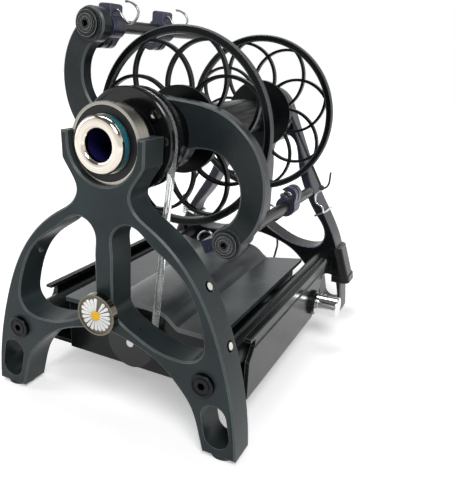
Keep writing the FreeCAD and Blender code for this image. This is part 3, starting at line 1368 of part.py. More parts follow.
def build_base():
    export("base_tray", base_tray())
    export("base_lid", base_lid())
    export("base_screws", base_screws() + motor_screws())
    export("motor_can", motor_can())
    export("motor_shaft", motor_shaft())
    export("motor_pulley", motor_pulley())
    export("drive_belt", drive_belt())
    export("circuit_board", circuit_board())
    export("board_parts", board_parts() + board_standoffs())
    export("panel_jacks", [power_jack(), pedal_jack()])
    export("toggle_body", toggle_body())
    export("toggle_lever", toggle_lever())
    export("speed_pot", speed_pot())
    export("knob_collar", knob_collar())
    export("speed_knob", [speed_knob(), knob_shaft(), knob_set_screw()])


def build_brake_and_badge():
    export("brake_cord", fused([brake_cord(), cord_tail()] + knots()))
    export("brake_hook", [brake_hook(), brake_spring()])
    export("brake_bands", brake_bands())
    export("rear_lead", rear_lead())
    export("badge_bezel", [badge_bezel(), badge_magnet()])
    export("badge_ground", badge_ground())
    export("badge_petals", badge_petals())
    export("badge_centre", badge_centre())


os.makedirs("parts", exist_ok=True)
build_stand()
build_bearings()
build_flyer()
build_bobbin()
build_base()
build_brake_and_badge()
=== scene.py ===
import math

import bpy
from mathutils import Matrix, Vector


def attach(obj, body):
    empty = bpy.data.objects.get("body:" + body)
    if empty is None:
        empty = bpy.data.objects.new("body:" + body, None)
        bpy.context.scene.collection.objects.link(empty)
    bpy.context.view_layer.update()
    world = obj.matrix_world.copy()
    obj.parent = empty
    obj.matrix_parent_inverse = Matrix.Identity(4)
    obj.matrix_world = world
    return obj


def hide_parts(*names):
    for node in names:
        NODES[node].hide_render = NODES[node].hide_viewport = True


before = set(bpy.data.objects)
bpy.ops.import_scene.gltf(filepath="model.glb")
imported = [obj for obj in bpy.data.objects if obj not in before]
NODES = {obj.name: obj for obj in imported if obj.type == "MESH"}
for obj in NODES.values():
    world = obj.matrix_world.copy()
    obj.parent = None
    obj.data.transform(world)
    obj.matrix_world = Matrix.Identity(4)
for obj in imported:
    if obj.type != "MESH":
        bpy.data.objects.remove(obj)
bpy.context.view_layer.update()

# ---- sizes of the spinner that patterns and pieces line up with, in metres ----
TABLE = -0.1613                         # height of the table top
FLYER_AXIS = (0.0, 0.0, 0.0)
MOTOR_AXIS = (0.0, 0.0, -0.1223)
KNOB_AXIS = (0.0, 0.1575, -0.1297)
BADGE_AXIS = (0.0, 0.0, -0.0903)
BADGE_FACE = -0.007                     # where the enamel lies, along Y
PETAL_REACH = 0.00985                   # from the badge's middle to the petals' tips
ARM_RADIUS = 0.0747                     # from the flyer's axis to the arm tubes
ARM_ANGLE = math.radians(-50.85)        # of the lower arm; the other is opposite
CAP_CIRCLES = (0.0034, 0.0052, 0.0074)  # radii of the bright circles on the arm caps
LOW_SHADE_BAND = (-0.066, -0.084)             # height over which painted shade turns the rear frame black
FOOT_X = 0.0732
FOOT_Y = (0.0091, 0.2291)
FOOT_MIDDLE = 0.00125                   # height of the ribs' middle over the table
CORD_Y = 0.2115                         # plane of the brake cord
CORD_LINE = 0.0225                      # radius of the cord's middle on the brake pulley
RIGHT_KNOT = (0.0566, -0.0537)
LEFT_KNOT = (-0.0696, -0.0803)
ALONG_X = (1.0, 0.0, 0.0)
ALONG_Y = (0.0, 1.0, 0.0)
ALONG_Z = (0.0, 0.0, 1.0)


# ---- node helpers ----
class Tree:
    """Short way to add and join nodes in a shader or geometry tree."""

    def __init__(self, tree):
        self.tree = tree
        self.column = 0

    def add(self, kind, inputs=None, **settings):
        node = self.tree.nodes.new(kind)
        node.location = (self.column, 0)
        self.column += 180
        for key, value in settings.items():
            setattr(node, key, value)
        for key, value in (inputs or {}).items():
            self.put(node.inputs[key], value)
        return node

    def put(self, socket, value):
        if isinstance(value, bpy.types.NodeSocket):
            self.tree.links.new(value, socket)
        else:
            socket.default_value = value

    def math(self, operation, *values, clamp=False):
        node = self.add("ShaderNodeMath", operation=operation, use_clamp=clamp)
        for socket, value in zip(node.inputs, values):
            self.put(socket, value)
        return node.outputs[0]

    def vector(self, operation, *values, out=0):
        node = self.add("ShaderNodeVectorMath", operation=operation)
        for socket, value in zip(node.inputs, values):
            self.put(socket, value)
        return node.outputs[out]

    def scale(self, vector, share):
        return self.add("ShaderNodeVectorMath", {0: vector, "Scale": share}, operation="SCALE").outputs[0]

    def ramp(self, value, low, high, to_low=0.0, to_high=1.0):
        node = self.add("ShaderNodeMapRange", {"Value": value, "From Min": low, "From Max": high,
                                               "To Min": to_low, "To Max": to_high})
        return node.outputs[0]

    def noise(self, where, scale, detail=2.0, roughness=0.5):
        node = self.add("ShaderNodeTexNoise", {"Vector": where, "Scale": scale, "Detail": detail,
                                               "Roughness": roughness})
        return node.outputs["Fac"]


def new_group(name, inputs, outputs):
    """Shader node group; inputs and outputs are (name, socket kind, default)."""
    group = bpy.data.node_groups.new(name, "ShaderNodeTree")
    for label, kind, default in inputs:
        socket = group.interface.new_socket(name=label, in_out="INPUT", socket_type="NodeSocket" + kind)
        socket.default_value = default
    for label, kind in outputs:
        group.interface.new_socket(name=label, in_out="OUTPUT", socket_type="NodeSocket" + kind)
    tree = Tree(group)
    source = tree.add("NodeGroupInput")
    sink = tree.add("NodeGroupOutput")
    return group, tree, source.outputs, sink.inputs


# ---- shared surface effects ----
def moulded_grain():
    """Fine grain of a moulded or blasted skin, and the slow clouding that handling leaves."""
    group, t, given, out = new_group(
        "Moulded grain",
        [("Grain Size", "Float", 0.0004), ("Cloud Size", "Float", 0.03)],
        [("Grain", "Float"), ("Cloud", "Float")])
    where = t.add("ShaderNodeTexCoord").outputs["Object"]
    fine = t.math("DIVIDE", 1.0, given["Grain Size"])
    slow = t.math("DIVIDE", 1.0, given["Cloud Size"])
    t.put(out["Grain"], t.noise(where, fine, 3.0, 0.6))
    t.put(out["Cloud"], t.noise(where, slow, 4.0, 0.55))
    return group


def rubbed_edges_and_highlights():
    """Where corners are rubbed, lightened as wear and as a painted edge highlight: the rounded normal leaves the
    true one there, broken up by noise.
    """
    group, t, given, out = new_group(
        "Rubbed edges and painted highlights",
        [("Breadth", "Float", 0.0006), ("Breaks", "Float", 0.5)],
        [("Rub and highlight", "Float")])
    soft = t.add("ShaderNodeBevel", {"Radius": given["Breadth"]}, samples=4).outputs["Normal"]
    true = t.add("ShaderNodeNewGeometry").outputs["Normal"]
    same = t.vector("DOT_PRODUCT", soft, true, out=1)
    edge = t.ramp(same, 0.999, 0.86)
    where = t.add("ShaderNodeTexCoord").outputs["Object"]
    patch = t.ramp(t.noise(where, 160.0, 4.0, 0.6), 0.35, 0.65)
    broken = t.math("SUBTRACT", 1.0, t.math("MULTIPLY", given["Breaks"], patch))
    t.put(out["Rub and highlight"], t.math("MULTIPLY", edge, broken, clamp=True))
    return group


def painted_chamfer_highlights():
    """Painted highlight on the narrow bevels round a plate whose broad faces look along Y."""
    group, t, given, out = new_group("Painted chamfer highlights", [("Spread", "Float", 0.2)], [("Band", "Float")])
    normal = t.add("ShaderNodeNewGeometry").outputs["Normal"]
    run = t.math("ABSOLUTE", t.vector("DOT_PRODUCT", normal, ALONG_Y, out=1))
    off = t.math("ABSOLUTE", t.math("SUBTRACT", run, math.sqrt(0.5)))
    t.put(out["Band"], t.ramp(off, given["Spread"], 0.0))
    return group


def turned_rings():
    """Marks of a lathe tool: rings round an axis on end faces, and hoops along it on the sides."""
    group, t, given, out = new_group(
        "Turned rings",
        [("Centre", "Vector", (0, 0, 0)), ("Axis", "Vector", (0, 1, 0)), ("Pitch", "Float", 0.0003)],
        [("Rings", "Float"), ("Sweep", "Float")])
    where = t.add("ShaderNodeTexCoord").outputs["Object"]
    arm = t.vector("SUBTRACT", where, given["Centre"])
    run = t.vector("DOT_PRODUCT", arm, given["Axis"], out=1)
    flat = t.vector("SUBTRACT", arm, t.scale(given["Axis"], run))
    reach = t.vector("LENGTH", flat, out=1)
    path = t.math("DIVIDE", t.math("ADD", reach, run), given["Pitch"])
    line = t.add("ShaderNodeTexNoise", {"W": path, "Scale": 1.0, "Detail": 2.0}, noise_dimensions="1D")
    t.put(out["Rings"], line.outputs["Fac"])
    round_ = t.vector("NORMALIZE", flat)
    t.put(out["Sweep"], t.noise(round_, 2.2, 1.0))
    return group


def brushed_lines():
    """Fine uneven streaks, as drawing and polishing leave them."""
    group, t, given, out = new_group(
        "Brushed lines",
        [("Line Size", "Float", 0.0002)],
        [("Streak", "Float")])
    where = t.add("ShaderNodeTexCoord").outputs["Object"]
    fine = t.math("DIVIDE", 1.0, given["Line Size"])
    t.put(out["Streak"], t.noise(where, fine, 3.0, 0.6))
    return group


def settled_dust():
    """Thin dust and fibre lint on faces that look up."""
    group, t, given, out = new_group(
        "Settled dust",
        [("Patch Size", "Float", 0.012)],
        [("Dust", "Float")])
    geometry = t.add("ShaderNodeNewGeometry")
    up = t.vector("DOT_PRODUCT", geometry.outputs["Normal"], ALONG_Z, out=1)
    where = t.add("ShaderNodeTexCoord").outputs["Object"]
    slow = t.math("DIVIDE", 1.0, given["Patch Size"])
    patch = t.ramp(t.noise(where, slow, 5.0, 0.65), 0.45, 0.8)
    specks = t.ramp(t.noise(where, 2600.0, 2.0, 0.5), 0.62, 0.8)
    thick = t.math("ADD", t.math("MULTIPLY", patch, 0.6), t.math("MULTIPLY", specks, 0.4))
    t.put(out["Dust"], t.math("MULTIPLY", t.ramp(up, 0.55, 0.98), thick, clamp=True))
    return group


GRAIN = moulded_grain()
RUB_AND_HIGHLIGHT = rubbed_edges_and_highlights()
CHAMFER_HIGHLIGHT = painted_chamfer_highlights()
RINGS = turned_rings()
BRUSH = brushed_lines()
DUST = settled_dust()


DUST_TONE = (0.42, 0.41, 0.39)


class Finish:
    """One material: a Principled shader that the shared effects feed."""

    def __init__(self, name, **constants):
        self.material = bpy.data.materials.new(name)
        self.material.use_nodes = True
        tree = self.material.node_tree
        self.shader = next(n for n in tree.nodes if n.type == "BSDF_PRINCIPLED")
        self.t = Tree(tree)
        for key, value in constants.items():
            self.shader.inputs[key.replace("_", " ")].default_value = value

    def effect(self, group, **values):
        node = self.t.add("ShaderNodeGroup", node_tree=group)
        for key, value in values.items():
            node.inputs[key.replace("_", " ")].default_value = value
        return node.outputs

    def blend(self, factor, first, second):
        node = self.t.add("ShaderNodeMix", data_type="RGBA")
        for socket, value in ((node.inputs[0], factor), (node.inputs[6], first), (node.inputs[7], second)):
            self.t.put(socket, (*value, 1.0) if isinstance(value, tuple) else value)
        return node.outputs[2]

    def set(self, socket, value):
        self.t.put(self.shader.inputs[socket], value)

    def bump(self, height, distance):
        node = self.t.add("ShaderNodeBump", {"Height": height, "Distance": distance, "Strength": 1.0})
        self.set("Normal", node.outputs[0])


def shade(tone, share, lift=0.0):
    """A colour made darker or lighter."""
    return tuple(min(1.0, c * share + lift) for c in tone)


def satin_skin(name, tone, worn, rough, grain=0.00035, cloud=0.035, relief=0.000012, rub_and_highlight=0.5, dust=0.0,
               breadth=0.0005, chamfer_highlight=0.0, low_painted_shade=None, **constants):
    """Satin moulded or anodised skin: fine grain, slow clouding, rubbed corners lightened as wear and as a
    painted edge highlight, and a little dust.

    The chamfer share paints a highlight on a plate's bevels; the low tone is painted shade, the colour low on the
    legs.
    """
    made = Finish(name, **constants)
    g = made.effect(GRAIN, Grain_Size=grain, Cloud_Size=cloud)
    colour = made.blend(made.t.ramp(g["Cloud"], 0.3, 0.7), shade(tone, 0.75), shade(tone, 1.28))
    # painted shade: the rear frame darkens low on its legs
    if low_painted_shade:
        where = made.t.add("ShaderNodeTexCoord").outputs["Object"]
        height = made.t.add("ShaderNodeSeparateXYZ", {"Vector": where}).outputs["Z"]
        colour = made.blend(made.t.ramp(height, *LOW_SHADE_BAND), colour, low_painted_shade)
    colour = made.blend(made.t.ramp(g["Grain"], 0.6, 0.85, 0.0, 0.06), colour, worn)
    # rubbed corners lightened towards the worn colour: wear, and a painted edge highlight
    edge = made.effect(RUB_AND_HIGHLIGHT, Breadth=breadth)["Rub and highlight"]
    colour = made.blend(made.t.math("MULTIPLY", edge, rub_and_highlight), colour, worn)
    # painted highlight: the plate's bevels lightened towards the worn colour
    if chamfer_highlight:
        band = made.effect(CHAMFER_HIGHLIGHT)["Band"]
        colour = made.blend(made.t.math("MULTIPLY", band, chamfer_highlight), colour, worn)
    if dust:
        film = made.effect(DUST)["Dust"]
        colour = made.blend(made.t.math("MULTIPLY", film, dust), colour, DUST_TONE)
    made.set("Base Color", colour)
    matt = made.t.ramp(g["Cloud"], 0.25, 0.75, rough - 0.05, rough + 0.06)
    made.set("Roughness", made.t.math("SUBTRACT", matt, made.t.math("MULTIPLY", edge, 0.12), clamp=True))
    made.bump(g["Grain"], relief)
    return made.material


def turned_metal(name, tone, dark, rough, centre=FLYER_AXIS, axis=ALONG_Y, pitch=0.00028, relief=0.000004,
                 **constants):
    """Metal off a lathe: fine rings, uneven polish and faint handling marks."""
    made = Finish(name, Metallic=1.0, **constants)
    rings = made.effect(RINGS, Centre=centre, Axis=axis, Pitch=pitch)
    g = made.effect(GRAIN, Grain_Size=0.0006, Cloud_Size=0.012)
    mark = made.t.ramp(rings["Rings"], 0.3, 0.75)
    colour = made.blend(mark, dark, tone)
    colour = made.blend(made.t.ramp(g["Cloud"], 0.5, 0.8, 0.0, 0.35), colour, dark)
    made.set("Base Color", colour)
    made.set("Roughness", made.t.ramp(rings["Rings"], 0.3, 0.7, rough * 0.75, rough * 1.35))
    made.bump(rings["Rings"], relief)
    return made.material


def bright_metal(name, tone, dark, rough, **constants):
    """Plated or drawn metal with fine streaks."""
    made = Finish(name, Metallic=1.0, **constants)
    streak = made.effect(BRUSH, Line_Size=0.00035)["Streak"]
    g = made.effect(GRAIN, Grain_Size=0.0005, Cloud_Size=0.006)
    colour = made.blend(made.t.ramp(streak, 0.3, 0.7), dark, tone)
    made.set("Base Color", made.blend(made.t.ramp(g["Cloud"], 0.55, 0.85, 0.0, 0.3), colour, dark))
    made.set("Roughness", made.t.ramp(streak, 0.3, 0.7, rough * 0.8, rough * 1.3))
    made.bump(streak, 0.000003)
    return made.material


def gloss_skin(name, tone, rough, cloud=0.01, scuff=0.05, **constants):
    """Glossy moulding or enamel: almost smooth, with faint flow marks, fine scuffs, and edges lightened as wear
    and as a painted highlight.
    """
    made = Finish(name, **constants)
    g = made.effect(GRAIN, Grain_Size=0.0009, Cloud_Size=cloud)
    edge = made.effect(RUB_AND_HIGHLIGHT, Breadth=0.0004)["Rub and highlight"]
    colour = made.blend(made.t.ramp(g["Cloud"], 0.3, 0.7), shade(tone, 0.85), shade(tone, 1.1, 0.004))
    # lighter edges: wear, and a painted edge highlight
    made.set("Base Color", made.blend(made.t.math("MULTIPLY", edge, 0.25), colour, shade(tone, 1.6, 0.05)))
    made.set("Roughness", made.t.ramp(g["Grain"], 0.4, 0.75, rough, rough + scuff))
    made.bump(g["Cloud"], 0.00004)
    return made.material


def clear_belt():
    """Clear stretch belt: light passes through, a little milky where it has flexed."""
    made = Finish("Clear belt", Transmission_Weight=0.9, IOR=1.46)
    g = made.effect(GRAIN, Grain_Size=0.0012, Cloud_Size=0.014)
    milky = made.t.ramp(g["Cloud"], 0.35, 0.7)
    made.set("Base Color", made.blend(milky, (0.96, 0.98, 0.97), (0.88, 0.91, 0.9)))
    made.set("Roughness", made.t.ramp(g["Grain"], 0.3, 0.8, 0.03, 0.1))
    made.bump(g["Cloud"], 0.00002)
    return made.material


def braided_cord():
    """Black braid: diagonal strands round a thin cord."""
    made = Finish("Braided cord", Sheen_Weight=0.3)
    t = made.t
    where = t.add("ShaderNodeTexCoord").outputs["Object"]
    wave = t.add("ShaderNodeTexWave", {"Vector": where, "Scale": 420.0, "Distortion": 1.5, "Detail": 1.0},
                 wave_type="BANDS", bands_direction="DIAGONAL").outputs["Fac"]
    fuzz = made.effect(GRAIN, Grain_Size=0.00025, Cloud_Size=0.004)
    colour = made.blend(t.ramp(wave, 0.2, 0.8), (0.006, 0.006, 0.007), (0.035, 0.035, 0.037))
    made.set("Base Color", made.blend(t.ramp(fuzz["Grain"], 0.6, 0.8, 0.0, 0.5), colour, (0.09, 0.09, 0.09)))
    made.set("Roughness", t.ramp(fuzz["Cloud"], 0.3, 0.7, 0.62, 0.82))
    made.bump(wave, 0.00012)
    return made.material


def circuit_green():
    """Solder mask over copper tracks."""
    made = Finish("Solder mask", Coat_Weight=0.4)
    t = made.t
    where = t.add("ShaderNodeTexCoord").outputs["Object"]
    cells = t.add("ShaderNodeTexVoronoi", {"Vector": where, "Scale": 220.0},
                  distance="MANHATTAN").outputs["Distance"]
    track = t.ramp(cells, 0.4, 0.44)
    g = made.effect(GRAIN, Grain_Size=0.0005, Cloud_Size=0.01)
    colour = made.blend(track, (0.02, 0.13, 0.06), (0.03, 0.22, 0.1))
    made.set("Base Color", made.blend(t.ramp(g["Cloud"], 0.4, 0.7, 0.0, 0.4), colour, (0.015, 0.1, 0.05)))
    made.set("Roughness", t.ramp(g["Grain"], 0.3, 0.7, 0.28, 0.4))
    made.bump(track, 0.00003)
    return made.material


def turned_black(name, tone, worn, rough, centre, lines, **constants):
    """Black turned cap on either arm: thin bright circles at the given radii, rubbed corners lightened as wear
    and as a painted edge highlight.

    The flyer is the same after half a turn, so both arms fold onto the one at centre.
    """
    made = Finish(name, **constants)
    t = made.t
    where = t.add("ShaderNodeTexCoord").outputs["Object"]
    side = t.math("SIGN", t.add("ShaderNodeSeparateXYZ", {"Vector": where}).outputs["X"])
    flat = t.vector("MULTIPLY", t.vector("SUBTRACT", t.scale(where, side), centre), (1.0, 0.0, 1.0))
    reach = t.vector("LENGTH", flat, out=1)
    circles = None
    for radius in lines:
        off = t.math("ABSOLUTE", t.math("SUBTRACT", reach, radius))
        line = t.ramp(off, 0.00028, 0.00012)
        circles = line if circles is None else t.math("MAXIMUM", circles, line)
    normal = t.add("ShaderNodeNewGeometry").outputs["Normal"]
    facing = t.math("ABSOLUTE", t.vector("DOT_PRODUCT", normal, ALONG_Y, out=1))
    circles = t.math("MULTIPLY", circles, t.ramp(facing, 0.4, 0.7))
    edge = made.effect(RUB_AND_HIGHLIGHT, Breadth=0.0004, Breaks=0.3)["Rub and highlight"]
    g = made.effect(GRAIN, Grain_Size=0.0004, Cloud_Size=0.008)
    colour = made.blend(t.ramp(g["Cloud"], 0.3, 0.7), shade(tone, 0.7), tone)
    # rubbed corners lightened: wear, and a painted edge highlight
    mark = t.math("MAXIMUM", t.math("MULTIPLY", circles, 0.8), t.math("MULTIPLY", edge, 0.7))
    made.set("Base Color", made.blend(mark, colour, worn))
    made.set("Roughness", t.ramp(mark, 0.0, 1.0, rough, rough * 0.6))
    made.bump(g["Grain"], 0.00001)
    return made.material


# ---- finishes of the spinner's pieces ----
ARM_CENTRE = (ARM_RADIUS * math.cos(ARM_ANGLE), 0.0, ARM_RADIUS * math.sin(ARM_ANGLE))
# edge colours: real wear on grain and corners, and the painted highlight on corners and bevels
SLATE_WEAR_AND_HIGHLIGHT = (0.3, 0.32, 0.33)
BLACK_WEAR_AND_HIGHLIGHT = (0.2, 0.205, 0.21)
FINISHES = {
    "frame": satin_skin("Slate black frame", (0.0235, 0.0325, 0.0342), SLATE_WEAR_AND_HIGHLIGHT, 0.3, rub_and_highlight=0.8, dust=0.02,
                        chamfer_highlight=0.17, Specular_IOR_Level=0.15),
    # rear frame: blue slate, with painted shade low on the legs
    "rear_frame": satin_skin("Slate blue rear frame", (0.017, 0.0205, 0.036), (0.26, 0.27, 0.36), 0.28,
                             rub_and_highlight=0.6, dust=0.02, chamfer_highlight=0.5, low_painted_shade=(0.004, 0.0045, 0.006),
                             Specular_IOR_Level=0.28),
    "bar": satin_skin("Black anodised bar", (0.007, 0.0078, 0.0088), BLACK_WEAR_AND_HIGHLIGHT, 0.25, rub_and_highlight=0.4, grain=0.0002,
                      Specular_IOR_Level=0.25),
    "sleeve": satin_skin("Black sleeve", (0.0028, 0.003, 0.0036), BLACK_WEAR_AND_HIGHLIGHT, 0.2, rub_and_highlight=0.5,
                         Specular_IOR_Level=0.2),
    "flyer": satin_skin("Satin black flyer", (0.017, 0.0228, 0.025), SLATE_WEAR_AND_HIGHLIGHT, 0.28, rub_and_highlight=0.7, dust=0.02,
                        chamfer_highlight=0.28, Specular_IOR_Level=0.2),
    "bobbin": satin_skin("Satin black bobbin", (0.003, 0.0037, 0.0042), (0.24, 0.26, 0.27), 0.24, rub_and_highlight=0.5,
                         chamfer_highlight=0.4, Specular_IOR_Level=0.12),
    "hub": satin_skin("Black hub", (0.0022, 0.0026, 0.0032), BLACK_WEAR_AND_HIGHLIGHT, 0.2, rub_and_highlight=0.5, cloud=0.02,
                      chamfer_highlight=0.3, Specular_IOR_Level=0.1),
    "tube": satin_skin("Blue black tube", (0.008, 0.007, 0.05), (0.1, 0.09, 0.2), 0.28, rub_and_highlight=0.2),
    "arm": satin_skin("Olive black arm tube", (0.012, 0.0128, 0.0115), (0.13, 0.13, 0.12), 0.3, rub_and_highlight=0.3,
                      grain=0.0002),
    "hook": satin_skin("Slate hook block", (0.026, 0.029, 0.056), (0.36, 0.38, 0.52), 0.28, rub_and_highlight=0.8,
                       Specular_IOR_Level=0.4),
    "cap": turned_black("Black turned cap", (0.005, 0.0056, 0.0062), (0.34, 0.35, 0.36), 0.24, ARM_CENTRE,
                        CAP_CIRCLES, Specular_IOR_Level=0.35),
    "tray": satin_skin("Dark grey tray", (0.0068, 0.0085, 0.0085), SLATE_WEAR_AND_HIGHLIGHT, 0.22, rub_and_highlight=0.8, dust=0.03,
                       breadth=0.0007, Specular_IOR_Level=0.22),
    "lid": satin_skin("Satin grey lid", (0.078, 0.09, 0.092), (0.28, 0.3, 0.31), 0.24, rub_and_highlight=0.6, dust=0.03,
                      Specular_IOR_Level=0.65),
    "foot": satin_skin("Black rubber", (0.008, 0.008, 0.008), (0.05, 0.05, 0.05), 0.62, rub_and_highlight=0.3, grain=0.0006,
                       relief=0.00006, dust=0.06),
    "seal": satin_skin("Bearing seal", (0.005, 0.005, 0.0055), (0.04, 0.04, 0.04), 0.4, rub_and_highlight=0.2,
                       Specular_IOR_Level=0.3),
    "black_part": satin_skin("Black moulding", (0.009, 0.009, 0.0098), (0.08, 0.08, 0.08), 0.36, rub_and_highlight=0.3),
    "whorl": gloss_skin("Gloss black whorl", (0.004, 0.0045, 0.0052), 0.13, Specular_IOR_Level=0.42),
    "teal": gloss_skin("Teal ring", (0.01, 0.16, 0.22), 0.24),
    "lead": gloss_skin("Black lead", (0.008, 0.008, 0.009), 0.3),
    "badge_ground": gloss_skin("Olive enamel", (0.1, 0.088, 0.06), 0.2),
    "petal": gloss_skin("White enamel", (0.86, 0.86, 0.85), 0.25),
    "centre": gloss_skin("Yellow enamel", (0.92, 0.5, 0.004), 0.3, Specular_IOR_Level=0.3),
    "chrome_ring": turned_metal("Polished orifice ring", (0.76, 0.71, 0.63), (0.6, 0.55, 0.48), 0.1,
                                pitch=0.0005, relief=0.000002),
    "race": turned_metal("Ground bearing steel", (0.46, 0.44, 0.39), (0.22, 0.21, 0.185), 0.2, pitch=0.0006),
    "shaft": turned_metal("Ground shaft", (0.62, 0.62, 0.61), (0.42, 0.42, 0.41), 0.22),
    "knob": turned_metal("Polished aluminium knob", (0.88, 0.88, 0.89), (0.7, 0.7, 0.71), 0.11,
                         centre=KNOB_AXIS, axis=ALONG_X, pitch=0.0004),
    "motor": turned_metal("Plated motor can", (0.5, 0.5, 0.49), (0.34, 0.34, 0.33), 0.3, centre=MOTOR_AXIS),
    "bezel": turned_metal("Dark chrome bezel", (0.24, 0.215, 0.175), (0.08, 0.07, 0.055), 0.14,
                          centre=BADGE_AXIS),
    "bronze": turned_metal("Sintered bronze", (0.5, 0.32, 0.14), (0.3, 0.18, 0.08), 0.38),
    "wire": bright_metal("Bright wire", (0.85, 0.85, 0.86), (0.55, 0.55, 0.56), 0.12),
    "hook_wire": bright_metal("Drawn hook wire", (0.5, 0.5, 0.51), (0.2, 0.2, 0.21), 0.2),
    "pin": bright_metal("Bright pin", (0.8, 0.79, 0.74), (0.55, 0.53, 0.47), 0.16),
    "dark_screw": bright_metal("Blackened screw", (0.03, 0.03, 0.033), (0.012, 0.012, 0.014), 0.28),
    "switch": bright_metal("Nickel switch", (0.68, 0.66, 0.62), (0.45, 0.44, 0.41), 0.2),
    "belt": clear_belt(),
    "cord": braided_cord(),
    "board": circuit_green(),
}


WHAT_WEARS = {
    "frame": ["front_frame"],
    "rear_frame": ["rear_frame"],
    "bar": ["tie_bars", "knob_collar"],
    "sleeve": ["leg_sleeves"],
    "flyer": ["flyer_yoke"],
    "cap": ["arm_caps"],
    "bobbin": ["bobbin_front_disc", "bobbin_rear_disc", "bobbin_core", "brake_pulley"],
    "hub": ["hub_sleeves"],
    "tube": ["orifice_tube", "tube_end"],
    "arm": ["flyer_arms"],
    "hook": ["hook_1_block", "hook_2_block", "hook_3_block", "hook_4_block"],
    "tray": ["base_tray"],
    "lid": ["base_lid"],
    "foot": ["rubber_feet"],
    "seal": ["front_bearing_seals", "rear_bearing_seals"],
    "black_part": ["board_parts", "panel_jacks", "speed_pot"],
    "whorl": ["whorl", "motor_pulley"],
    "teal": ["teal_spacer"],
    "lead": ["rear_lead"],
    "badge_ground": ["badge_ground"],
    "petal": ["badge_petals"],
    "centre": ["badge_centre"],
    "chrome_ring": ["orifice_ring"],
    "race": ["front_bearing_outer", "front_bearing_inner", "rear_bearing_outer", "rear_bearing_inner"],
    "shaft": ["flyer_shaft", "motor_shaft"],
    "knob": ["speed_knob"],
    "motor": ["motor_can"],
    "bezel": ["badge_bezel"],
    "bronze": ["bobbin_bushes"],
    "wire": ["brake_hook", "brake_bands"],
    "hook_wire": ["hook_1_wire", "hook_2_wire", "hook_3_wire", "hook_4_wire"],
    "pin": ["edge_pins", "whorl_screws", "base_screws"],
    "dark_screw": ["tie_screws"],
    "switch": ["toggle_body", "toggle_lever"],
    "belt": ["drive_belt"],
    "cord": ["brake_cord"],
    "board": ["circuit_board"],
}


def dress(piece, material):
    piece.data.materials.clear()
    piece.data.materials.append(material)


for finish, names in WHAT_WEARS.items():
    for name in names:
        dress(NODES[name], FINISHES[finish])
undressed = set(NODES) - {name for names in WHAT_WEARS.values() for name in names}
assert not undressed, undressed


# ---- pieces that repeat, grown by geometry nodes ----
def new_growth(name, inputs):
    """Geometry node group with named inputs, its starting mesh and its material among them."""
    group = bpy.data.node_groups.new(name, "GeometryNodeTree")
    group.interface.new_socket(name="Start", in_out="INPUT", socket_type="NodeSocketGeometry")
    for label, kind, default in inputs:
        socket = group.interface.new_socket(name=label, in_out="INPUT", socket_type="NodeSocket" + kind)
        socket.default_value = default
    group.interface.new_socket(name="Material", in_out="INPUT", socket_type="NodeSocketMaterial")
    group.interface.new_socket(name="Geometry", in_out="OUTPUT", socket_type="NodeSocketGeometry")
    tree = Tree(group)
    return group, tree, tree.add("NodeGroupInput").outputs, tree.add("NodeGroupOutput").inputs


def round_turns(t, count):
    """Index of each copy, and its turn about Z when the copies stand evenly round a middle."""
    index = t.add("GeometryNodeInputIndex").outputs[0]
    step = t.math("DIVIDE", 2 * math.pi, count)
    return index, t.add("ShaderNodeCombineXYZ", {"Z": t.math("MULTIPLY", index, step)}).outputs[0]


def end_growth(t, given, out, geometry):
    """Real geometry in the piece's material, put out."""
    real = t.add("GeometryNodeRealizeInstances", {"Geometry": geometry}).outputs[0]
    worn = t.add("GeometryNodeSetMaterial", {"Geometry": real, "Material": given["Material"]})
    t.put(out["Geometry"], worn.outputs[0])


def grow(name, group, material, points=(), edges=(), **values):
    """Plain mesh piece that a geometry node group makes from a few starting points."""
    start = bpy.data.meshes.new(name + "_start")
    start.from_pydata([tuple(p) for p in points], list(edges), [])
    holder = bpy.data.objects.new(name + "_start", start)
    bpy.context.scene.collection.objects.link(holder)
    modifier = holder.modifiers.new("growth", "NODES")
    modifier.node_group = group
    wanted = {key.replace("_", " "): value for key, value in values.items()}
    wanted["Material"] = material
    for socket in group.interface.items_tree:
        if socket.in_out == "INPUT" and socket.name in wanted:
            modifier[socket.identifier] = wanted[socket.name]
    graph = bpy.context.evaluated_depsgraph_get()
    mesh = bpy.data.meshes.new_from_object(holder.evaluated_get(graph), depsgraph=graph)
    bpy.data.objects.remove(holder)
    piece = bpy.data.objects.new(name, mesh)
    bpy.context.scene.collection.objects.link(piece)
    return piece


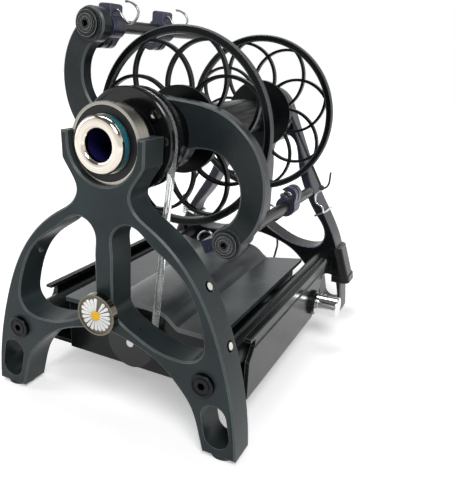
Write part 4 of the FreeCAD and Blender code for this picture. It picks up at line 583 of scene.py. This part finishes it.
def petal_growth():
    """Strap petals round a middle, each a little different, one of them missing; they face -Y."""
    group, t, given, out = new_growth("Daisy petals", [
        ("Count", "Int", 20), ("Missing", "Int", 19), ("Inner", "Float", 0.0022), ("Outer", "Float", 0.0098),
        ("Foot Width", "Float", 0.0005), ("Tip Width", "Float", 0.0024), ("Thickness", "Float", 0.0005),
        ("Seed", "Int", 4)])
    length = t.math("SUBTRACT", given["Outer"], given["Inner"])
    strap = t.add("GeometryNodeCurvePrimitiveQuadrilateral", mode="TRAPEZOID")
    t.put(strap.inputs["Height"], length)
    t.put(strap.inputs["Bottom Width"], given["Foot Width"])
    t.put(strap.inputs["Top Width"], given["Tip Width"])
    strap.inputs["Offset"].default_value = 0.0
    bend = t.math("MULTIPLY", given["Tip Width"], 0.42)
    soft = t.add("GeometryNodeFilletCurve", {"Curve": strap.outputs[0], "Count": 6, "Radius": bend}, mode="POLY")
    soft.inputs["Limit Radius"].default_value = True
    face = t.add("GeometryNodeFillCurve", {"Curve": soft.outputs[0]}, mode="NGONS").outputs[0]
    half = t.math("MULTIPLY", given["Thickness"], 0.5)
    wall = t.add("GeometryNodeExtrudeMesh", {"Mesh": face, "Offset Scale": half}, mode="FACES")
    crown = t.add("GeometryNodeExtrudeMesh", {"Mesh": wall.outputs["Mesh"], "Selection": wall.outputs["Top"],
                                              "Offset Scale": half}, mode="FACES")
    eased = t.add("GeometryNodeScaleElements", {"Geometry": crown.outputs["Mesh"], "Scale": 0.86,
                                                "Selection": crown.outputs["Top"]}, domain="FACE")
    back = t.add("GeometryNodeFlipFaces", {"Mesh": face}).outputs[0]
    closed = t.add("GeometryNodeJoinGeometry")
    t.put(closed.inputs[0], eased.outputs[0])
    t.put(closed.inputs[0], back)
    whole = t.add("GeometryNodeMergeByDistance", {"Geometry": closed.outputs[0], "Distance": 1e-6}).outputs[0]
    middle = t.math("MULTIPLY", t.math("ADD", given["Outer"], given["Inner"]), 0.5)
    out_at = t.add("ShaderNodeCombineXYZ", {"Y": middle}).outputs[0]
    petal = t.add("GeometryNodeTransform", {"Geometry": whole, "Translation": out_at}).outputs[0]
    places = t.add("GeometryNodePoints", {"Count": given["Count"]}).outputs[0]
    index, turn = round_turns(t, given["Count"])
    marked = t.add("GeometryNodeStoreNamedAttribute", {"Geometry": places, "Name": "turn", "Value": turn},
                   data_type="FLOAT_VECTOR", domain="POINT").outputs[0]
    gone = t.add("FunctionNodeCompare", data_type="INT", operation="EQUAL")
    t.put(gone.inputs[2], index)
    t.put(gone.inputs[3], given["Missing"])
    kept = t.add("GeometryNodeDeleteGeometry", {"Geometry": marked, "Selection": gone.outputs[0]},
                 domain="POINT")
    read = t.add("GeometryNodeInputNamedAttribute", {"Name": "turn"}, data_type="FLOAT_VECTOR").outputs[0]
    vary = t.add("FunctionNodeRandomValue", {"Seed": given["Seed"]}, data_type="FLOAT_VECTOR")
    vary.inputs[0].default_value = (0.9, 0.92, 0.95)
    vary.inputs[1].default_value = (1.04, 1.0, 1.0)
    laid = t.add("GeometryNodeInstanceOnPoints", {"Points": kept.outputs[0], "Instance": petal,
                                                  "Rotation": read, "Scale": vary.outputs[0]})
    spread = t.add("GeometryNodeRealizeInstances", {"Geometry": laid.outputs[0]}).outputs[0]
    faced = t.add("GeometryNodeTransform", {"Geometry": spread, "Rotation": (math.pi / 2, 0.0, 0.0)}).outputs[0]
    at = t.add("GeometryNodeInstanceOnPoints", {"Points": given["Start"], "Instance": faced}).outputs[0]
    end_growth(t, given, out, at)
    return group


def rib_growth():
    """Short upright ribs round each starting point."""
    group, t, given, out = new_growth("Foot ribs", [
        ("Count", "Int", 40), ("Reach", "Float", 0.008), ("Width", "Float", 0.0006), ("Depth", "Float", 0.0006),
        ("Height", "Float", 0.0014)])
    size = t.add("ShaderNodeCombineXYZ", {"X": given["Depth"], "Y": given["Width"], "Z": given["Height"]})
    block = t.add("GeometryNodeMeshCube", {"Size": size.outputs[0]}).outputs[0]
    out_at = t.add("ShaderNodeCombineXYZ", {"X": given["Reach"]}).outputs[0]
    rib = t.add("GeometryNodeTransform", {"Geometry": block, "Translation": out_at}).outputs[0]
    places = t.add("GeometryNodePoints", {"Count": given["Count"]}).outputs[0]
    turn = round_turns(t, given["Count"])[1]
    ring = t.add("GeometryNodeInstanceOnPoints", {"Points": places, "Instance": rib, "Rotation": turn})
    at = t.add("GeometryNodeInstanceOnPoints", {"Points": given["Start"], "Instance": ring.outputs[0]}).outputs[0]
    end_growth(t, given, out, at)
    return group


def braid_growth():
    """Strands wound both ways round a path."""
    group, t, given, out = new_growth("Cord braid", [
        ("Strands", "Int", 6), ("Lay Radius", "Float", 0.00078), ("Strand Radius", "Float", 0.00026),
        ("Pitch", "Float", 0.006), ("Step", "Float", 0.0006)])
    path = t.add("GeometryNodeMeshToCurve", {"Mesh": given["Start"]}).outputs[0]
    even = t.add("GeometryNodeResampleCurve", {"Curve": path}, mode="LENGTH")
    t.put(even.inputs["Length"], given["Step"])
    copies = t.add("GeometryNodeDuplicateElements", {"Geometry": even.outputs[0], "Amount": given["Strands"]},
                   domain="SPLINE")
    held = t.add("GeometryNodeStoreNamedAttribute", {"Geometry": copies.outputs[0], "Name": "strand",
                                                     "Value": copies.outputs[1]},
                 data_type="FLOAT", domain="CURVE").outputs[0]
    strand = t.add("GeometryNodeInputNamedAttribute", {"Name": "strand"}, data_type="FLOAT").outputs[0]
    way = t.math("SUBTRACT", t.math("MULTIPLY", t.math("MODULO", strand, 2.0), 2.0), 1.0)
    phase = t.math("MULTIPLY", t.math("DIVIDE", strand, given["Strands"]), 2 * math.pi)
    along = t.add("GeometryNodeSplineParameter").outputs["Length"]
    wound = t.math("MULTIPLY", t.math("DIVIDE", along, given["Pitch"]), 2 * math.pi)
    angle = t.math("ADD", t.math("MULTIPLY", wound, way), phase)
    tangent = t.add("GeometryNodeInputTangent").outputs[0]
    side = t.vector("NORMALIZE", t.vector("CROSS_PRODUCT", tangent, ALONG_Y))
    rise = t.vector("CROSS_PRODUCT", side, tangent)
    across = t.scale(side, t.math("MULTIPLY", t.math("COSINE", angle), given["Lay Radius"]))
    upward = t.scale(rise, t.math("MULTIPLY", t.math("SINE", angle), given["Lay Radius"]))
    offset = t.vector("ADD", across, upward)
    wrapped = t.add("GeometryNodeSetPosition", {"Geometry": held, "Offset": offset}).outputs[0]
    round_ = t.add("GeometryNodeCurvePrimitiveCircle", {"Resolution": 6}, mode="RADIUS")
    t.put(round_.inputs["Radius"], given["Strand Radius"])
    tubes = t.add("GeometryNodeCurveToMesh", {"Curve": wrapped, "Profile Curve": round_.outputs[0],
                                              "Fill Caps": True}).outputs[0]
    end_growth(t, given, out, tubes)
    return group


def cord_route(steps=24):
    """Points of the brake cord's middle: knot, round the pulley, knot."""
    def touch(knot, side):
        """Angle at which the straight run from a knot meets the pulley."""
        spread = math.acos(CORD_LINE / math.hypot(*knot))
        return math.atan2(knot[1], knot[0]) + side * spread

    first, last = touch(RIGHT_KNOT, 1), touch(LEFT_KNOT, -1) + 2 * math.pi
    turns = [first + (last - first) * k / steps for k in range(steps + 1)]
    arc = [(CORD_LINE * math.cos(a), CORD_LINE * math.sin(a)) for a in turns]
    return [(x, CORD_Y, z) for x, z in [RIGHT_KNOT, *arc, LEFT_KNOT]]


badge_place = (BADGE_AXIS[0], BADGE_FACE, BADGE_AXIS[2])
foot_places = [(side * FOOT_X, y, TABLE + FOOT_MIDDLE) for side in (-1, 1) for y in FOOT_Y]
daisy = grow("badge_daisy", petal_growth(), FINISHES["petal"], [badge_place], Outer=PETAL_REACH)
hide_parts("badge_petals")
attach(daisy, "stand")
ribs = grow("foot_ribs", rib_growth(), FINISHES["foot"], foot_places)
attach(ribs, "stand")
route = cord_route()
braid = grow("brake_cord_braid", braid_growth(), FINISHES["cord"], route,
             [(k, k + 1) for k in range(len(route) - 1)])
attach(braid, "stand")


# ---- floor, light and camera ----
WORLD_FILL = 0.15                       # strength of the room's light on dull surfaces
LAMP_AIM = (0.0, 0.1, -0.05)
LAMPS = [                               # name, place, (width, height), power
    ("key", (0.45, -0.6, 0.8), (0.5, 0.5), 9.0),
    ("fill", (-0.9, -0.35, 0.35), (0.3, 0.9), 3.0),
    ("top", (-0.25, 0.35, 1.0), (0.8, 0.3), 6.0),
]
CAMERA_PLACE = (0.174105, -0.224663, 0.04734)
CAMERA_YAW, CAMERA_PITCH, CAMERA_ROLL = 0.426, 0.332, 0.056
CAMERA_LENS = 41.294                    # millimetres, on a sensor 36 mm wide


def pale_floor():
    """White table; it keeps the shadow, and the eye, metal and glass see it white."""
    bpy.ops.mesh.primitive_plane_add(size=6.0, location=(0, 0, TABLE))
    floor = bpy.context.object
    floor.name = "table"
    made = Finish("White table", Roughness=0.9)
    g = made.effect(GRAIN, Grain_Size=0.002, Cloud_Size=0.4)
    made.set("Base Color", made.blend(g["Cloud"], (0.86, 0.86, 0.86), (0.9, 0.9, 0.9)))
    t = made.t
    path = t.add("ShaderNodeLightPath").outputs
    seen = t.math("MAXIMUM", path["Is Camera Ray"], t.math("MAXIMUM", path["Is Glossy Ray"],
                                                          path["Is Transmission Ray"]))
    where = t.add("ShaderNodeTexCoord").outputs["Object"]
    away = t.vector("LENGTH", where, out=1)
    lift = t.add("ShaderNodeMapRange", {"Value": away, "From Min": 0.28, "From Max": 1.1, "To Min": 0.4,
                                        "To Max": 1.0}, interpolation_type="SMOOTHSTEP").outputs[0]
    glow = t.add("ShaderNodeEmission", {"Color": (1, 1, 1, 1), "Strength": t.math("MULTIPLY", seen, lift)})
    both = t.add("ShaderNodeAddShader")
    t.put(both.inputs[0], made.shader.outputs[0])
    t.put(both.inputs[1], glow.outputs[0])
    output = next(n for n in t.tree.nodes if n.type == "OUTPUT_MATERIAL")
    t.put(output.inputs["Surface"], both.outputs[0])
    dress(floor, made.material)


def white_room():
    """White surroundings for the eye, metal and clear pieces, dimmer overhead and on dull surfaces."""
    world = bpy.data.worlds.new("White room")
    bpy.context.scene.world = world
    world.use_nodes = True
    t = Tree(world.node_tree)
    background = next(n for n in world.node_tree.nodes if n.type == "BACKGROUND")
    path = t.add("ShaderNodeLightPath").outputs
    seen = t.math("MAXIMUM", path["Is Camera Ray"], path["Is Transmission Ray"])
    aim = t.add("ShaderNodeSeparateXYZ", {"Vector": t.add("ShaderNodeTexCoord").outputs["Generated"]})
    sweep = t.add("ShaderNodeMapRange", {"Value": aim.outputs["Z"], "From Min": 0.3, "From Max": 0.62,
                                         "To Min": 1.0, "To Max": 0.12},
                  interpolation_type="SMOOTHSTEP").outputs[0]
    shine = t.math("MULTIPLY", path["Is Glossy Ray"], sweep)
    dull = t.math("SUBTRACT", 1.0, t.math("MAXIMUM", seen, path["Is Glossy Ray"]))
    background.inputs["Color"].default_value = (1, 1, 1, 1)
    bright = t.math("MAXIMUM", seen, shine)
    t.put(background.inputs["Strength"], t.math("ADD", bright, t.math("MULTIPLY", dull, WORLD_FILL)))


def soft_lamp(name, place, size, power):
    """Broad lamp that looks at the spinner."""
    data = bpy.data.lights.new(name, "AREA")
    data.shape = "RECTANGLE"
    data.size, data.size_y = size
    data.energy = power
    lamp = bpy.data.objects.new(name, data)
    bpy.context.scene.collection.objects.link(lamp)
    lamp.location = place
    lamp.rotation_mode = "QUATERNION"
    lamp.rotation_quaternion = (Vector(LAMP_AIM) - Vector(place)).to_track_quat("-Z", "Y")


def camera_view():
    """Camera from the front right, above the orifice."""
    data = bpy.data.cameras.new("camera")
    camera = bpy.data.objects.new("camera", data)
    bpy.context.scene.collection.objects.link(camera)
    level = Vector((math.cos(CAMERA_YAW), math.sin(CAMERA_YAW), 0.0))
    forward = Vector((-math.sin(CAMERA_YAW), math.cos(CAMERA_YAW), 0.0))
    ahead = forward * math.cos(CAMERA_PITCH) - Vector(ALONG_Z) * math.sin(CAMERA_PITCH)
    above = level.cross(ahead)
    right = level * math.cos(CAMERA_ROLL) + above * math.sin(CAMERA_ROLL)
    up = above * math.cos(CAMERA_ROLL) - level * math.sin(CAMERA_ROLL)
    turn = Matrix((right, up, -ahead)).transposed()
    camera.matrix_world = Matrix.Translation(CAMERA_PLACE) @ turn.to_4x4()
    data.sensor_fit = "AUTO"
    data.sensor_width = 36.0
    data.lens = CAMERA_LENS
    data.clip_start = 0.01
    data.clip_end = 20.0
    bpy.context.scene.camera = camera


pale_floor()
white_room()
for lamp in LAMPS:
    soft_lamp(*lamp)
camera_view()
bpy.context.scene.view_settings.view_transform = "Standard"
